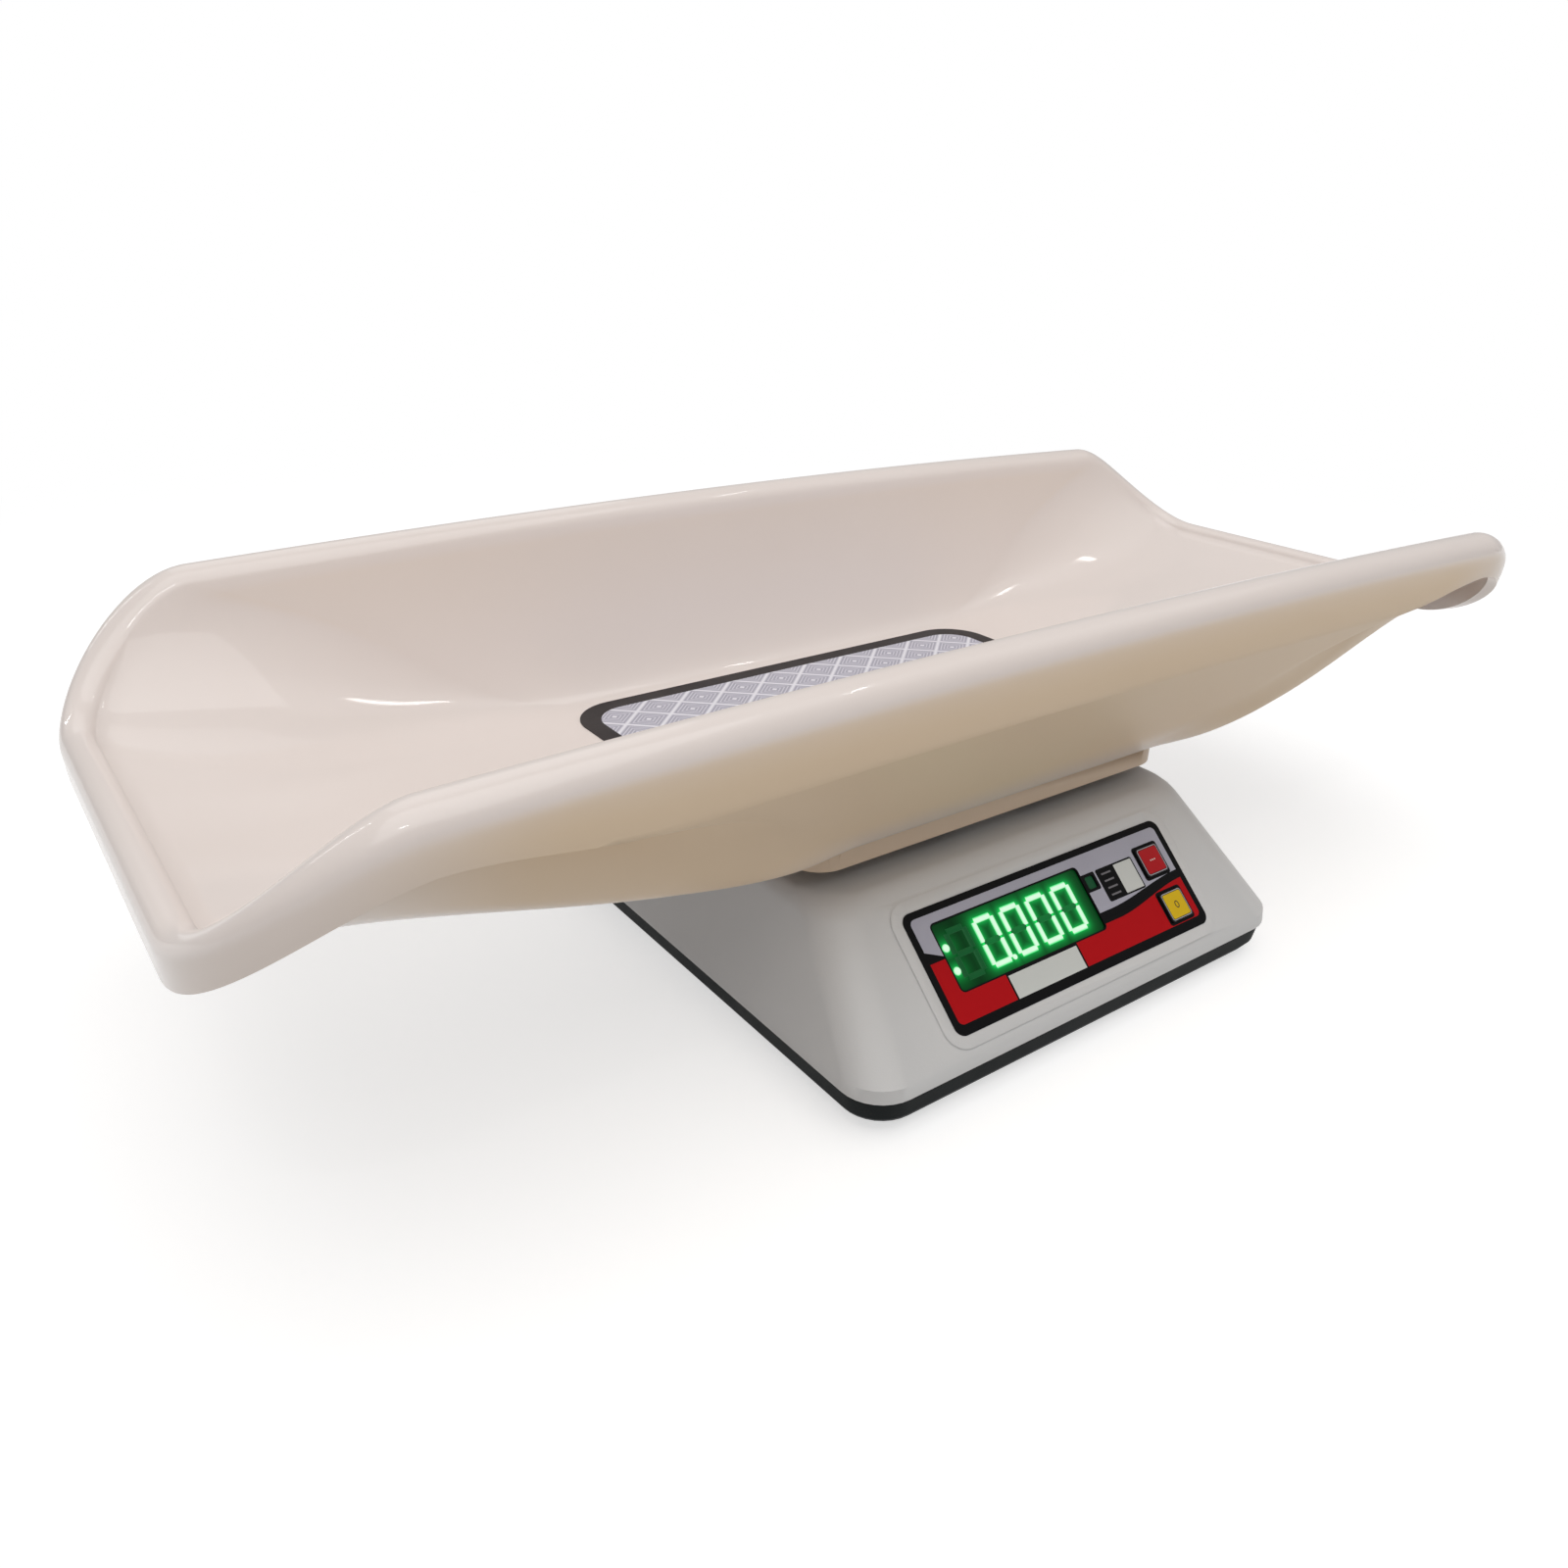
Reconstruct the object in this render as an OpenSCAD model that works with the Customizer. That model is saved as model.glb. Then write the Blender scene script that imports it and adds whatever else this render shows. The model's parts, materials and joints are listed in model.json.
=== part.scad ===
// Digital baby weighing scale: a table-top scale with a sloped display front,
// and a moulded baby tray on its platter.
// Millimetres, +Z up. X runs along the tray, -Y is the display side.
// The origin is the middle of the overall length and depth, on the plane that the rubber feet stand on.

/* [Tray] */
// Overall length of the baby tray
tray_len = 560; // [500:5:620]
// Overall width of the baby tray, across the middle of its side rims
tray_w = 242; // [222:1:250]
// Wall thickness of the moulded tray
tray_t = 4; // [2.5:0.25:4.5]
// Thickness of the tray's flat floor
floor_t = 5; // [3:0.5:6]
// Height of the side rims' crest above the tray floor
side_rise = 72.5; // [60:0.5:86]
// Height of the end lips' crest above the tray floor
end_rise = 31.5; // [24:0.5:42]
// How much lower the side rims are at the tray's ends than in the middle
rim_sag = 5.5; // [0:0.5:10]
// How far the side rims bow outwards in plan
side_bow = 0.8; // [0:0.1:5]
// Outer radius of the rolled rim along the sides
rim_r = 8.5; // [6:0.5:11]
// Outer radius of the rolled lip across the ends
lip_r = 5.5; // [4.5:0.5:8]
// Depth of the rim's outer skin below the centre of its roll, along the sides
side_hem = 16; // [9:0.5:20]
// Depth of the rim's outer skin below the centre of its roll, round the ends
end_hem = 8.5; // [5:0.5:12]
// How far the rim's outer skin tucks in towards its hem
hem_tuck = 2; // [0:0.5:4]
// Outer plan radius of the tray's corners
corner_r = 53; // [40:1:66]
// How much rounder the walls' corners are on their way up
corner_fill = 20; // [0:2:44]
// Length of side rim before each corner over which the rim already falls
drop_lead = 2; // [0:1:30]
// Length of side rim before each corner over which the side wall leaves the hem
open_lead = 60; // [20:1:80]
// Length of the flat tray floor
floor_len = 218; // [200:2:240]
// Width of the flat tray floor
floor_w = 154; // [140:2:160]
// Plan radius of the flat floor's corners
floor_r = 22; // [12:1:34]
// How hollow the side walls are between floor and rim
side_power = 1.9; // [1.2:0.05:2.4]
// How hollow the end slopes are between floor and lip
end_power = 1.65; // [1.2:0.05:2.4]
// Share of the end slopes' rise that is the upturn just inside the lip
lip_share = 0.15; // [0:0.01:0.3]
// How suddenly that upturn starts
lip_power = 8; // [5:0.5:14]
// Diameter of the pegs that locate the tray on the platter
peg_d = 8; // [6:0.5:10]
// Length of the locating pegs below the tray
peg_len = 5; // [3.5:0.5:6]
// Width of bare floor round the label
label_margin = 2; // [1:0.5:20]
// Thickness of the label
label_t = 0.4; // [0.2:0.1:0.8]

/* [Housing] */
// Width of the housing at its lower edge
base_w = 214; // [204:1:240]
// Distance from the middle of the tray to the front of the housing
front_reach = 130; // [124:1:145]
// Distance from the middle of the tray to the back of the housing
back_reach = 95; // [90:1:120]
// Height of the upper housing
housing_h = 47; // [45:0.5:60]
// Height of the upright wall below the front slope
sill_h = 5; // [3:0.5:8]
// Angle of the display slope from the horizontal
slope_deg = 42; // [38:0.5:46]
// How much narrower each side is at the top than at the sill
side_draft = 14; // [8:0.5:18]
// Plan radius of the housing's corners
housing_r = 16; // [12:1:22]
// Radius of the edge round the housing's top
top_edge_r = 5; // [3:0.5:8]
// Wall thickness of the upper housing
housing_t = 3; // [2:0.25:3.5]
// Height of the raised field round the display panel
bezel_h = 0.6; // [0.3:0.1:1]
// Width of the raised field outside the panel
bezel_w = 4.5; // [3:0.5:5]

/* [Base] */
// Height of the dark base tray
plate_h = 11; // [9:0.5:14]
// Floor and wall thickness of the base tray
plate_t = 3; // [2.5:0.25:4]
// How far the base tray steps in below the housing
plate_step = 1; // [0.5:0.5:2]
// How far the base tray narrows towards its lower edge
plate_taper = 3; // [1:0.5:4]
// Diameter of the rubber feet
foot_d = 20; // [14:1:26]
// Height of the rubber feet
foot_h = 4; // [3:0.5:8]
// Distance of the feet's centres from the base's edges
foot_inset = 24; // [20:1:32]
// Distance of the housing screws from the base's edges
screw_inset = 14; // [12:0.5:16]
// Diameter of the housing's screw bosses
boss_d = 9; // [8:0.5:11]
// Shank diameter of the housing screws
screw_d = 3; // [2.5:0.25:4]

/* [Display panel] */
// Width of the panel
panel_w = 132; // [126:1:140]
// Height of the panel up the slope
panel_h = 45.5; // [44:0.5:48]
// Distance up the slope from the sill to the panel
panel_up = 6.6; // [6:0.2:8]
// Corner radius of the panel
panel_r = 4; // [2:0.5:6]
// Thickness of the panel's front film
film_t = 0.8; // [0.4:0.1:1]
// Width of the display window
window_w = 72; // [66:0.5:74]
// Height of the display window
window_h = 25; // [23:0.5:27]
// Thickness of the display lens
lens_t = 1.4; // [1:0.1:1.8]
// Edge length of the square keys
key_w = 12; // [10:0.5:13]
// Travel of the keys
key_travel = 0.5; // [0.3:0.1:0.8]
// How far the keys stand out of the panel
key_out = 0.9; // [0.6:0.1:1.4]
// Width of the mains indicator window
lamp_w = 5.6; // [4:0.2:6]
// Depth of the display board's face below the slope
board_depth = 10.5; // [9.5:0.5:12]
// Thickness of the circuit boards
board_t = 1.6; // [1:0.2:2]

/* [Weighing mechanism] */
// Width of the platter
platter_w = 180; // [160:2:190]
// Depth of the platter, front to back
platter_d = 145; // [134:1:160]
// Height of the platter's skirt
platter_h = 9.7; // [8.5:0.1:12]
// Top thickness of the platter
platter_t = 3; // [2.5:0.25:4]
// Wall thickness of the platter's skirt
skirt_t = 2.5; // [2:0.25:3.5]
// Plan radius of the platter's corners
platter_r = 13; // [6:1:20]
// Gap between the housing and the platter
platter_gap = 7; // [5:0.5:10]
// Length of the load cell
cell_len = 120; // [110:1:140]
// Width of the load cell
cell_w = 30; // [25:1:32]
// Height of the load cell
cell_h = 22; // [20:1:24]
// Height of the spacer under the load cell
spacer_h = 5; // [4:0.5:6]
// Length of the blocks at each end of the load cell
block_len = 28; // [26:1:34]
// Travel of the platter at full load
cell_travel = 1.2; // [0.8:0.1:1.4]
// Thickness of the platter's carrier plate
spider_t = 3; // [2.5:0.5:4]
// Distance between the carrier's arms along the tray
arm_span_x = 120; // [100:2:140]
// Distance between the carrier's arms, front to back
arm_span_y = 92; // [80:2:100]
// Width of the carrier's arms
arm_w = 18; // [14:1:22]
// Thickness of the rubber pads under the platter
pad_t = 2.5; // [1.5:0.25:3]
// Clearance below the carrier at full load
stop_gap = 0.4; // [0.3:0.1:0.6]

/* [Power] */
// Length of the battery
battery_len = 100; // [90:1:104]
// Width of the battery
battery_w = 66; // [60:1:70]
// Height of the battery
battery_h = 42; // [38:0.5:44]
// Diameter of the power inlet's socket
inlet_d = 6; // [5:0.1:6.4]
// Diameter of the power inlet's centre pin
inlet_pin_d = 2.1; // [1.5:0.1:2.5]
// Length of the power rocker
rocker_len = 15; // [13:0.5:16]
// Width of the power rocker
rocker_w = 10; // [8:0.5:11]
// Tilt of the power rocker to each side
rocker_tilt = 9; // [6:0.5:11]

/* [Hidden] */
$fn = 48;
small = 0.01;
fit_gap = 0.3; // clearance round pieces that drop into a recess
run_gap = 0.05; // radial clearance of turning and sliding pins
screw_gap = 0.05; // radial clearance round screw shanks

// Heights above the table
plate_floor_z = foot_h + plate_t;
seam_z = foot_h + plate_h;
sill_z = seam_z + sill_h;
top_z = seam_z + housing_h;
platter_z = top_z + platter_gap;
platter_top_z = platter_z + platter_h;
tray_floor_z = platter_top_z + floor_t;
spider_top_z = platter_top_z - platter_t - pad_t;
spider_z = spider_top_z - spider_t;
cell_z = plate_floor_z + spacer_h;
cell_top_z = cell_z + cell_h;

// Places along Y: the tray's centre line lies behind the middle of the overall depth
mid_y = (max(front_reach, tray_w / 2) - tray_w / 2) / 2;
front_y = mid_y - front_reach;
back_y = mid_y + back_reach;
lip = 0.8; // the slope starts this far behind the housing's front edge
slope_y = front_y + lip;
cell_back_y = mid_y + cell_len / 2;
cell_front_y = mid_y - cell_len / 2;

// ---------- shared shapes ----------

function ease(t) = let(c = min(1, max(0, t))) c * c * (3 - 2 * c);
function lerp(a, b, t) = a + (b - a) * t;
function unit(v) = v / norm(v);

// Plan rectangle with round corners, made of true arcs
module round_rect(w, d, r) {
    square([w - 2 * r, d], center = true);
    square([w, d - 2 * r], center = true);
    for (sx = [-1, 1], sy = [-1, 1]) translate([sx * (w / 2 - r), sy * (d / 2 - r)]) circle(r);
}

module round_slab(w, d, h, r) {
    linear_extrude(h) round_rect(w, d, r);
}

// Closed ring of points at height z: half width hw, from front yf to back yb, corner radius r
ring_steps = 8;
function ring(hw, yf, yb, r, z) = [
    for (q = [0:3], i = [0:ring_steps])
        let (a = 90 * (q + i / ring_steps),
             cx = (q == 0 || q == 3 ? 1 : -1) * (hw - r),
             cy = q < 2 ? yb - r : yf + r)
        [cx + r * cos(a), cy + r * sin(a), z]
];

// Solid through a list of equal rings, lowest first
module loft(rings) {
    n = len(rings[0]);
    m = len(rings);
    polyhedron(
        points = [for (r = rings, p = r) p],
        faces = concat(
            [[for (i = [0:n - 1]) i]],
            [for (j = [0:m - 2], i = [0:n - 1])
                let (k = (i + 1) % n) [j * n + i, (j + 1) * n + i, (j + 1) * n + k, j * n + k]],
            [[for (i = [n - 1:-1:0]) (m - 1) * n + i]]));
}

// Screw standing on its head: the head's bearing face is at z = 0 and the shank runs up
module screw(d, len, head_d, head_h) {
    translate([0, 0, -head_h]) cylinder(d = head_d, h = head_h);
    cylinder(d = d, h = len);
}

// Places children on the display slope: x across, up the slope, and out of it
module on_slope(x, up, out) {
    translate([0, slope_y, sill_z]) rotate([slope_deg, 0, 0]) translate([x, up, out]) children();
}

module at_corners(dx, dy) {
    for (sx = [-1, 1], sy = [-1, 1]) translate([sx * dx / 2, sy * dy / 2, 0]) children();
}

// ---------- housing ----------

// Section of the housing at height z, drawn in by inset on every side
function housing_ring(z, inset, edge) =
    let (rise = max(0, z - sill_z),
         draft = side_draft * rise / (top_z - sill_z))
    ring(base_w / 2 - draft - inset - edge,
         slope_y - (z < sill_z ? lip * (sill_z - z) / sill_h : 0) + rise / tan(slope_deg)
             + (rise > 0 ? inset / sin(slope_deg) : inset) + edge,
         back_y - inset - edge,
         housing_r - inset, z);

edge_steps = 4;
// The rounded edge round the top, as [height, inset] pairs
function edge_levels(z, r) = [
    for (i = [0:edge_steps]) let (a = 90 * i / edge_steps) [z - r + r * sin(a), r * (1 - cos(a))]
];

module housing_body(from_z, inset) {
    top = top_z - inset;
    loft(concat(
        [housing_ring(from_z, inset, 0), housing_ring(sill_z, inset, 0)],
        [for (l = edge_levels(top, top_edge_r - inset / 2)) housing_ring(l[0], inset, l[1])]));
}

screw_spots = [
    for (sx = [-1, 1], y = [front_y + screw_inset, back_y - screw_inset]) [sx * (base_w / 2 - screw_inset), y]
];
boss_hole_len = 12;

// Panel layout: centre heights up the slope, and places across it
panel_mid = panel_up + panel_h / 2;
panel_margin = 6.7; // film above and beside the windows
window_up = panel_up + panel_h - panel_margin - window_h / 2;
window_x = -panel_w / 2 + 10 + window_w / 2;
lamp_gap = 1.2; // film between the display window and the lamp's
lamp_x = window_x + window_w / 2 + lamp_gap + lamp_w / 2;
lamp_h = 6;
lamp_in = 2.5; // depth of the lamp's head below the slope
lamp_up = window_up + window_h / 2 - 4.2 - lamp_h / 2;
key_x = panel_w / 2 - 12.7;
function_key_up = panel_up + panel_h - 15;
zero_key_up = panel_up + 11;
key_flange = 1; // how far the key's hidden flange stands out of its cap
flange_t = 0.8;
stem_d = 4;
pocket_depth = film_t + flange_t + key_travel + 0.5;
pocket_w = key_w + 2 * key_flange + 2 * fit_gap;
lens_rim = 0.6; // how far the lens runs under the film
lens_w = window_w + 2 * lens_rim;
lens_h = window_h + 2 * lens_rim;
film_in = film_t - 0.2; // depth of the recess that the film lies in
board_w = 122;
board_h = 42;
board_screw_x = board_w - 8;
board_screw_y = board_h - 6;
board_boss_d = 5;

module panel_cutouts() {
    floor_out = bezel_h - film_in;
    on_slope(0, panel_mid, floor_out) round_slab(panel_w + 2 * run_gap, panel_h + 2 * run_gap, 2, panel_r);
    on_slope(window_x, window_up, floor_out - lens_t)
        round_slab(lens_w + 2 * run_gap, lens_h + 2 * run_gap, lens_t + 1, 2);
    on_slope(window_x, window_up, -2 * housing_t)
        round_slab(window_w - 1, window_h - 1, 3 * housing_t, 2);
    on_slope(lamp_x, lamp_up, -2 * housing_t)
        round_slab(lamp_w, lamp_h, 3 * housing_t, 1);
    for (up = [function_key_up, zero_key_up]) {
        on_slope(key_x, up, floor_out - pocket_depth)
            round_slab(pocket_w, pocket_w, 2 * pocket_depth, 2);
        on_slope(key_x, up, -3 * housing_t) cylinder(d = stem_d + 2 * fit_gap, h = 3 * housing_t);
    }
}

post_hole_gap = 2.5;
inlet_x = -58;
inlet_z = seam_z + housing_h / 2;
inlet_nose_d = inlet_d + 3;
switch_x = 50;
switch_z = inlet_z;
switch_gap = 0.8; // clearance round the rocker in its frame
switch_len = rocker_len + 2 * switch_gap + 4.5;
switch_w = rocker_w + 2 * switch_gap + 2;
switch_flange = 1.5;

module top_housing() {
    color("#ece4dc")
    difference() {
        union() {
            difference() {
                union() {
                    housing_body(seam_z, 0);
                    on_slope(0, panel_mid, -housing_t / 2)
                        round_slab(panel_w + 2 * bezel_w, panel_h + 2 * bezel_w, housing_t / 2 + bezel_h,
                                   panel_r + bezel_w);
                }
                translate([0, 0, -small]) housing_body(seam_z - small, housing_t);
            }
            intersection() {
                housing_body(plate_floor_z, small);
                union() {
                    for (p = screw_spots) translate([p[0], p[1], plate_floor_z])
                        cylinder(d = boss_d, h = housing_h + plate_h);
                    on_slope(0, panel_mid, -board_depth) at_corners(board_screw_x, board_screw_y)
                        cylinder(d = board_boss_d, h = board_depth);
                    on_slope(key_x, (function_key_up + zero_key_up) / 2, -pocket_depth - 1)
                        round_slab(key_w + 6, function_key_up - zero_key_up + key_w + 5, pocket_depth, 2);
                }
            }
        }
        panel_cutouts();
        for (p = screw_spots)
            translate([p[0], p[1], plate_floor_z - small])
                cylinder(r = screw_d / 2 + screw_gap, h = boss_hole_len);
        on_slope(0, panel_mid, -board_depth - small) at_corners(board_screw_x, board_screw_y)
            cylinder(r = 1 + screw_gap, h = 6);
        translate([0, cell_front_y + block_len / 2, top_z - 2 * housing_t])
            round_slab(cell_w + 2 * post_hole_gap, block_len + 2 * post_hole_gap, 3 * housing_t, 4);
        translate([inlet_x, back_y - 2 * housing_t, inlet_z]) rotate([-90, 0, 0])
            cylinder(d = inlet_nose_d + 2 * run_gap, h = 3 * housing_t);
        translate([switch_x, back_y - 2 * housing_t, switch_z]) rotate([-90, 0, 0])
            round_slab(switch_len, switch_w, 3 * housing_t, 1);
    }
}

// ---------- base ----------

main_board_w = 68;
main_board_d = 92;
main_board_x = -cell_w / 2 - 12 - main_board_w / 2;
main_board_y = mid_y - 5;
main_board_z = plate_floor_z + 5;
standoff_d = 6;

battery_gap = 6; // between the load cell and the battery
battery_x = cell_w / 2 + battery_gap + battery_w / 2;
battery_y = mid_y - 4;
ledge = 3; // how far the battery door's rim overlaps the base
door_w = battery_w + 2 * ledge;
door_len = battery_len + 2 * ledge;
door_t = plate_t / 2;
door_tab = 12;

foot_spots = [
    for (sx = [-1, 1], y = [front_y + foot_inset, back_y - foot_inset]) [sx * (base_w / 2 - foot_inset), y]
];

function plate_ring(z, inset) =
    ring(base_w / 2 - plate_step - inset, front_y + plate_step + inset, back_y - plate_step - inset,
         housing_r - plate_step, z);

module base_plate() {
    color("#24292b")
    difference() {
        union() {
            difference() {
                loft([plate_ring(foot_h, plate_taper), plate_ring(foot_h + plate_t, plate_taper / 3),
                      plate_ring(seam_z, 0)]);
                translate([0, (front_y + back_y) / 2, plate_floor_z])
                    round_slab(base_w - 2 * plate_step - plate_taper - 2 * plate_t,
                               back_y - front_y - 2 * plate_step - plate_taper - 2 * plate_t,
                               plate_h, housing_r - plate_t);
            }
            translate([main_board_x, main_board_y, foot_h + small])
                at_corners(main_board_w - 8, main_board_d - 8)
                    cylinder(d = standoff_d, h = main_board_z - foot_h - small);
        }
        for (p = screw_spots) translate([p[0], p[1], foot_h]) {
            translate([0, 0, -small]) cylinder(r = screw_d / 2 + screw_gap, h = plate_h);
            translate([0, 0, -small]) cylinder(d = 2 * screw_d + 1, h = plate_t / 2 + small);
        }
        translate([battery_x, battery_y, foot_h - small]) {
            round_slab(door_w + 2 * fit_gap, door_len + 2 * fit_gap, door_t + small, 3);
            round_slab(battery_w + 2 * fit_gap, battery_len + 2 * fit_gap, plate_h, 2);
            for (s = [-1, 1]) translate([0, s * (battery_len / 2 + ledge + door_tab / 2), 0]) {
                round_slab(door_tab + 2 * fit_gap, door_tab + 4, door_t + small, 3);
                cylinder(r = screw_d / 2 + screw_gap, h = plate_t + 2 * small);
            }
        }
        translate([0, cell_back_y - block_len / 2, foot_h - small]) at_cell_screws() {
            cylinder(r = cell_screw_d / 2 + screw_gap, h = plate_h);
            cylinder(d = cell_head_d + 2 * screw_gap, h = cell_head_h / 2 + small);
        }
        translate([0, cell_front_y + block_len / 2, foot_h - small])
            cylinder(r = cell_screw_d / 2 + screw_gap, h = plate_h);
    }
}

foot_edge = 0.8;

module rubber_feet() {
    color("#1c1c1c")
    for (p = foot_spots) translate([p[0], p[1], 0]) {
        rotate_extrude()
            polygon([[0, 0], [foot_d / 2 - foot_edge, 0], [foot_d / 2, foot_edge],
                     [foot_d / 2 - 1, foot_h], [0, foot_h]]);
    }
}

module housing_screws() {
    color("#8f9396")
    for (p = screw_spots) translate([p[0], p[1], foot_h + plate_t / 2])
        screw(screw_d, plate_t / 2 + boss_hole_len - 2, 2 * screw_d, plate_t / 2 - 0.2);
}

// ---------- load cell and its mounts ----------

cell_screw_d = 5;
cell_head_d = 8.5;
cell_head_h = 3;
cell_screw_pitch = 15;
gauge_hole_d = 15;
gauge_hole_gap = 26;

module at_cell_screws() {
    for (s = [-1, 1]) translate([0, s * cell_screw_pitch / 2, 0]) children();
}

module load_cell_spacer() {
    color("#b8bcc0")
    difference() {
        translate([-cell_w / 2, cell_back_y - block_len, plate_floor_z]) cube([cell_w, block_len, spacer_h]);
        translate([0, cell_back_y - block_len / 2, plate_floor_z - small]) at_cell_screws()
            cylinder(r = cell_screw_d / 2 + screw_gap, h = spacer_h + 2 * small);
    }
}

// Aluminium beam with two gauge holes joined by a slot, and a threaded pair at each end
module load_cell() {
    color("#c9ccd0")
    difference() {
        translate([-cell_w / 2, cell_front_y, cell_z]) cube([cell_w, cell_len, cell_h]);
        translate([-cell_w / 2 - small, mid_y, cell_z + cell_h / 2]) rotate([0, 90, 0]) {
            for (s = [-1, 1]) translate([0, s * gauge_hole_gap / 2, 0])
                cylinder(d = gauge_hole_d, h = cell_w + 2 * small);
            translate([-2, -gauge_hole_gap / 2, 0]) cube([4, gauge_hole_gap, cell_w + 2 * small]);
        }
        for (y = [cell_back_y - block_len / 2, cell_front_y + block_len / 2])
            translate([0, y, cell_z - small]) at_cell_screws()
                cylinder(r = cell_screw_d / 2 + screw_gap, h = cell_h + 2 * small);
    }
}

module load_cell_base_screws() {
    color("#8f9396")
    translate([0, cell_back_y - block_len / 2, foot_h + cell_head_h / 2]) at_cell_screws()
        screw(cell_screw_d, plate_t + spacer_h + 10, cell_head_d, cell_head_h / 2 - 0.2);
}

nut_d = 9;
nut_h = 2.5;

// Stop under the free end of the load cell: a threaded stud with a lock nut
module overload_screw() {
    color("#8f9396")
    translate([0, cell_front_y + block_len / 2, foot_h]) {
        cylinder(d = cell_screw_d, h = plate_t + spacer_h - cell_travel - stop_gap);
        translate([0, 0, plate_t]) cylinder(d = nut_d, h = nut_h, $fn = 6);
    }
}

module load_cell_post() {
    color("#b8bcc0")
    difference() {
        translate([-cell_w / 2, cell_front_y, cell_top_z]) cube([cell_w, block_len, spider_z - cell_top_z]);
        translate([0, cell_front_y + block_len / 2, cell_top_z - small]) at_cell_screws()
            cylinder(r = cell_screw_d / 2 + screw_gap, h = spider_z - cell_top_z + 2 * small);
    }
}

hub_w = cell_w + 36;
hub_len = cell_len - 4;
rail_w = 10;
hub_hole_d = 24;

// Cast carrier: a plate over the post with four arms out to the pads
module spider() {
    color("#9a9ea2")
    translate([0, mid_y, spider_z])
    difference() {
        linear_extrude(spider_t) {
            round_rect(hub_w, hub_len, arm_w / 2 - 1);
            for (s = [-1, 1]) {
                translate([0, s * arm_span_y / 2]) round_rect(arm_span_x + arm_w, arm_w, arm_w / 2 - small);
                translate([s * (hub_w - rail_w) / 2, 0]) square([rail_w, arm_span_y], center = true);
            }
        }
        translate([0, cell_front_y + block_len / 2 - mid_y, -small]) at_cell_screws()
            cylinder(r = cell_screw_d / 2 + screw_gap, h = spider_t + 2 * small);
        translate([0, cell_len / 8, -small]) cylinder(d = hub_hole_d, h = spider_t + 2 * small);
    }
}

cap_head_h = 2; // low heads, under the platter

module load_cell_top_screws() {
    color("#8f9396")
    translate([0, cell_front_y + block_len / 2, spider_top_z]) at_cell_screws() rotate([180, 0, 0])
        screw(cell_screw_d, spider_top_z - cell_top_z + 12, cell_head_d, cap_head_h);
}

stop_d = 8;

module corner_stops() {
    color("#2a2a2a")
    translate([0, mid_y, top_z]) at_corners(arm_span_x, arm_span_y)
        cylinder(d = stop_d, h = spider_z - top_z - cell_travel - stop_gap);
}

module platter_pads() {
    color("#3a3a3a")
    translate([0, mid_y, spider_top_z]) at_corners(arm_span_x, arm_span_y) cylinder(d = arm_w - 4, h = pad_t);
}

peg_span_x = arm_span_x + 16;
peg_span_y = arm_span_y - arm_w - peg_d - 4; // between the pads
rib_t = 2;
cross_rib_in = hub_w / 2 + 3; // the cross ribs stop short of the carrier's hub
cross_rib_y = arm_span_y / 2 + arm_w / 2 + 3;

// Moulded platter: a top with a skirt, stiffening ribs and four holes for the tray's pegs
module platter() {
    color("#e4d8c8")
    translate([0, mid_y, platter_z])
    difference() {
        round_slab(platter_w, platter_d, platter_h, platter_r);
        difference() {
            translate([0, 0, -small])
                round_slab(platter_w - 2 * skirt_t, platter_d - 2 * skirt_t, platter_h - platter_t + small,
                           platter_r - skirt_t);
            for (sx = [-1, 1]) translate([sx * (arm_span_x / 2 + arm_w), 0, platter_h / 2])
                cube([rib_t, platter_d, platter_h], center = true);
            for (sx = [-1, 1], sy = [-1, 1])
                translate([sx * (cross_rib_in + platter_w / 4), sy * cross_rib_y, platter_h / 2])
                    cube([platter_w / 2, rib_t, platter_h], center = true);
        }
        translate([0, 0, -small]) at_corners(peg_span_x, peg_span_y)
            cylinder(r = peg_d / 2 + fit_gap, h = platter_h + 2 * small);
    }
}

// ---------- tray ----------

half_len = tray_len / 2;
half_w = tray_w / 2 - side_bow;
roll_start = 160; // degrees round the roll where the inner wall meets it
wall_rings = 9;
crest_rings = 6;
hem_rings = 3;
last_ring = wall_rings + crest_rings + hem_rings;

// One quarter of the rim, as [part of the outline, place along that part]
long_steps = 8;
corner_steps = 8;
short_steps = 3;
quarter = concat(
    [for (i = [0:long_steps - 1]) [0, 1 - pow(1 - i / long_steps, 1.5)]],
    [for (i = [0:corner_steps - 1]) [1, i / corner_steps]],
    [for (i = [0:short_steps]) [2, i / short_steps]]);
last_q = len(quarter) - 1;
// Stations round the whole rim, as [sign of x, sign of y, quarter station]
stations = concat(
    [for (i = [last_q:-1:0]) [1, 1, quarter[i]]],
    [for (i = [1:last_q]) [-1, 1, quarter[i]]],
    [for (i = [last_q - 1:-1:0]) [-1, -1, quarter[i]]],
    [for (i = [1:last_q - 1]) [1, -1, quarter[i]]]);

function plan_point(hx, hy, r, q) =
    q[0] == 0 ? [q[1] * (hx - r), hy]
    : q[0] == 1 ? [hx - r + r * sin(90 * q[1]), hy - r + r * cos(90 * q[1])]
    : [hx, (1 - q[1]) * (hy - r)];
function plan_normal(q) = q[0] == 0 ? [0, 1] : q[0] == 1 ? [sin(90 * q[1]), cos(90 * q[1])] : [1, 0];

// Distance along the outline past the long side's end, negative before it
long_len = half_len - corner_r;
arc_len = corner_r * PI / 2;
function past(q) = q[0] == 0 ? (q[1] - 1) * long_len : q[0] == 1 ? q[1] * arc_len : arc_len;
// 0 along the sides and 1 round the ends: for the rim's height, and for the gap behind its hem
function fall(q) = ease((past(q) + drop_lead) / (drop_lead + arc_len));
function open(q) = ease((past(q) + open_lead) / open_lead);

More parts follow.
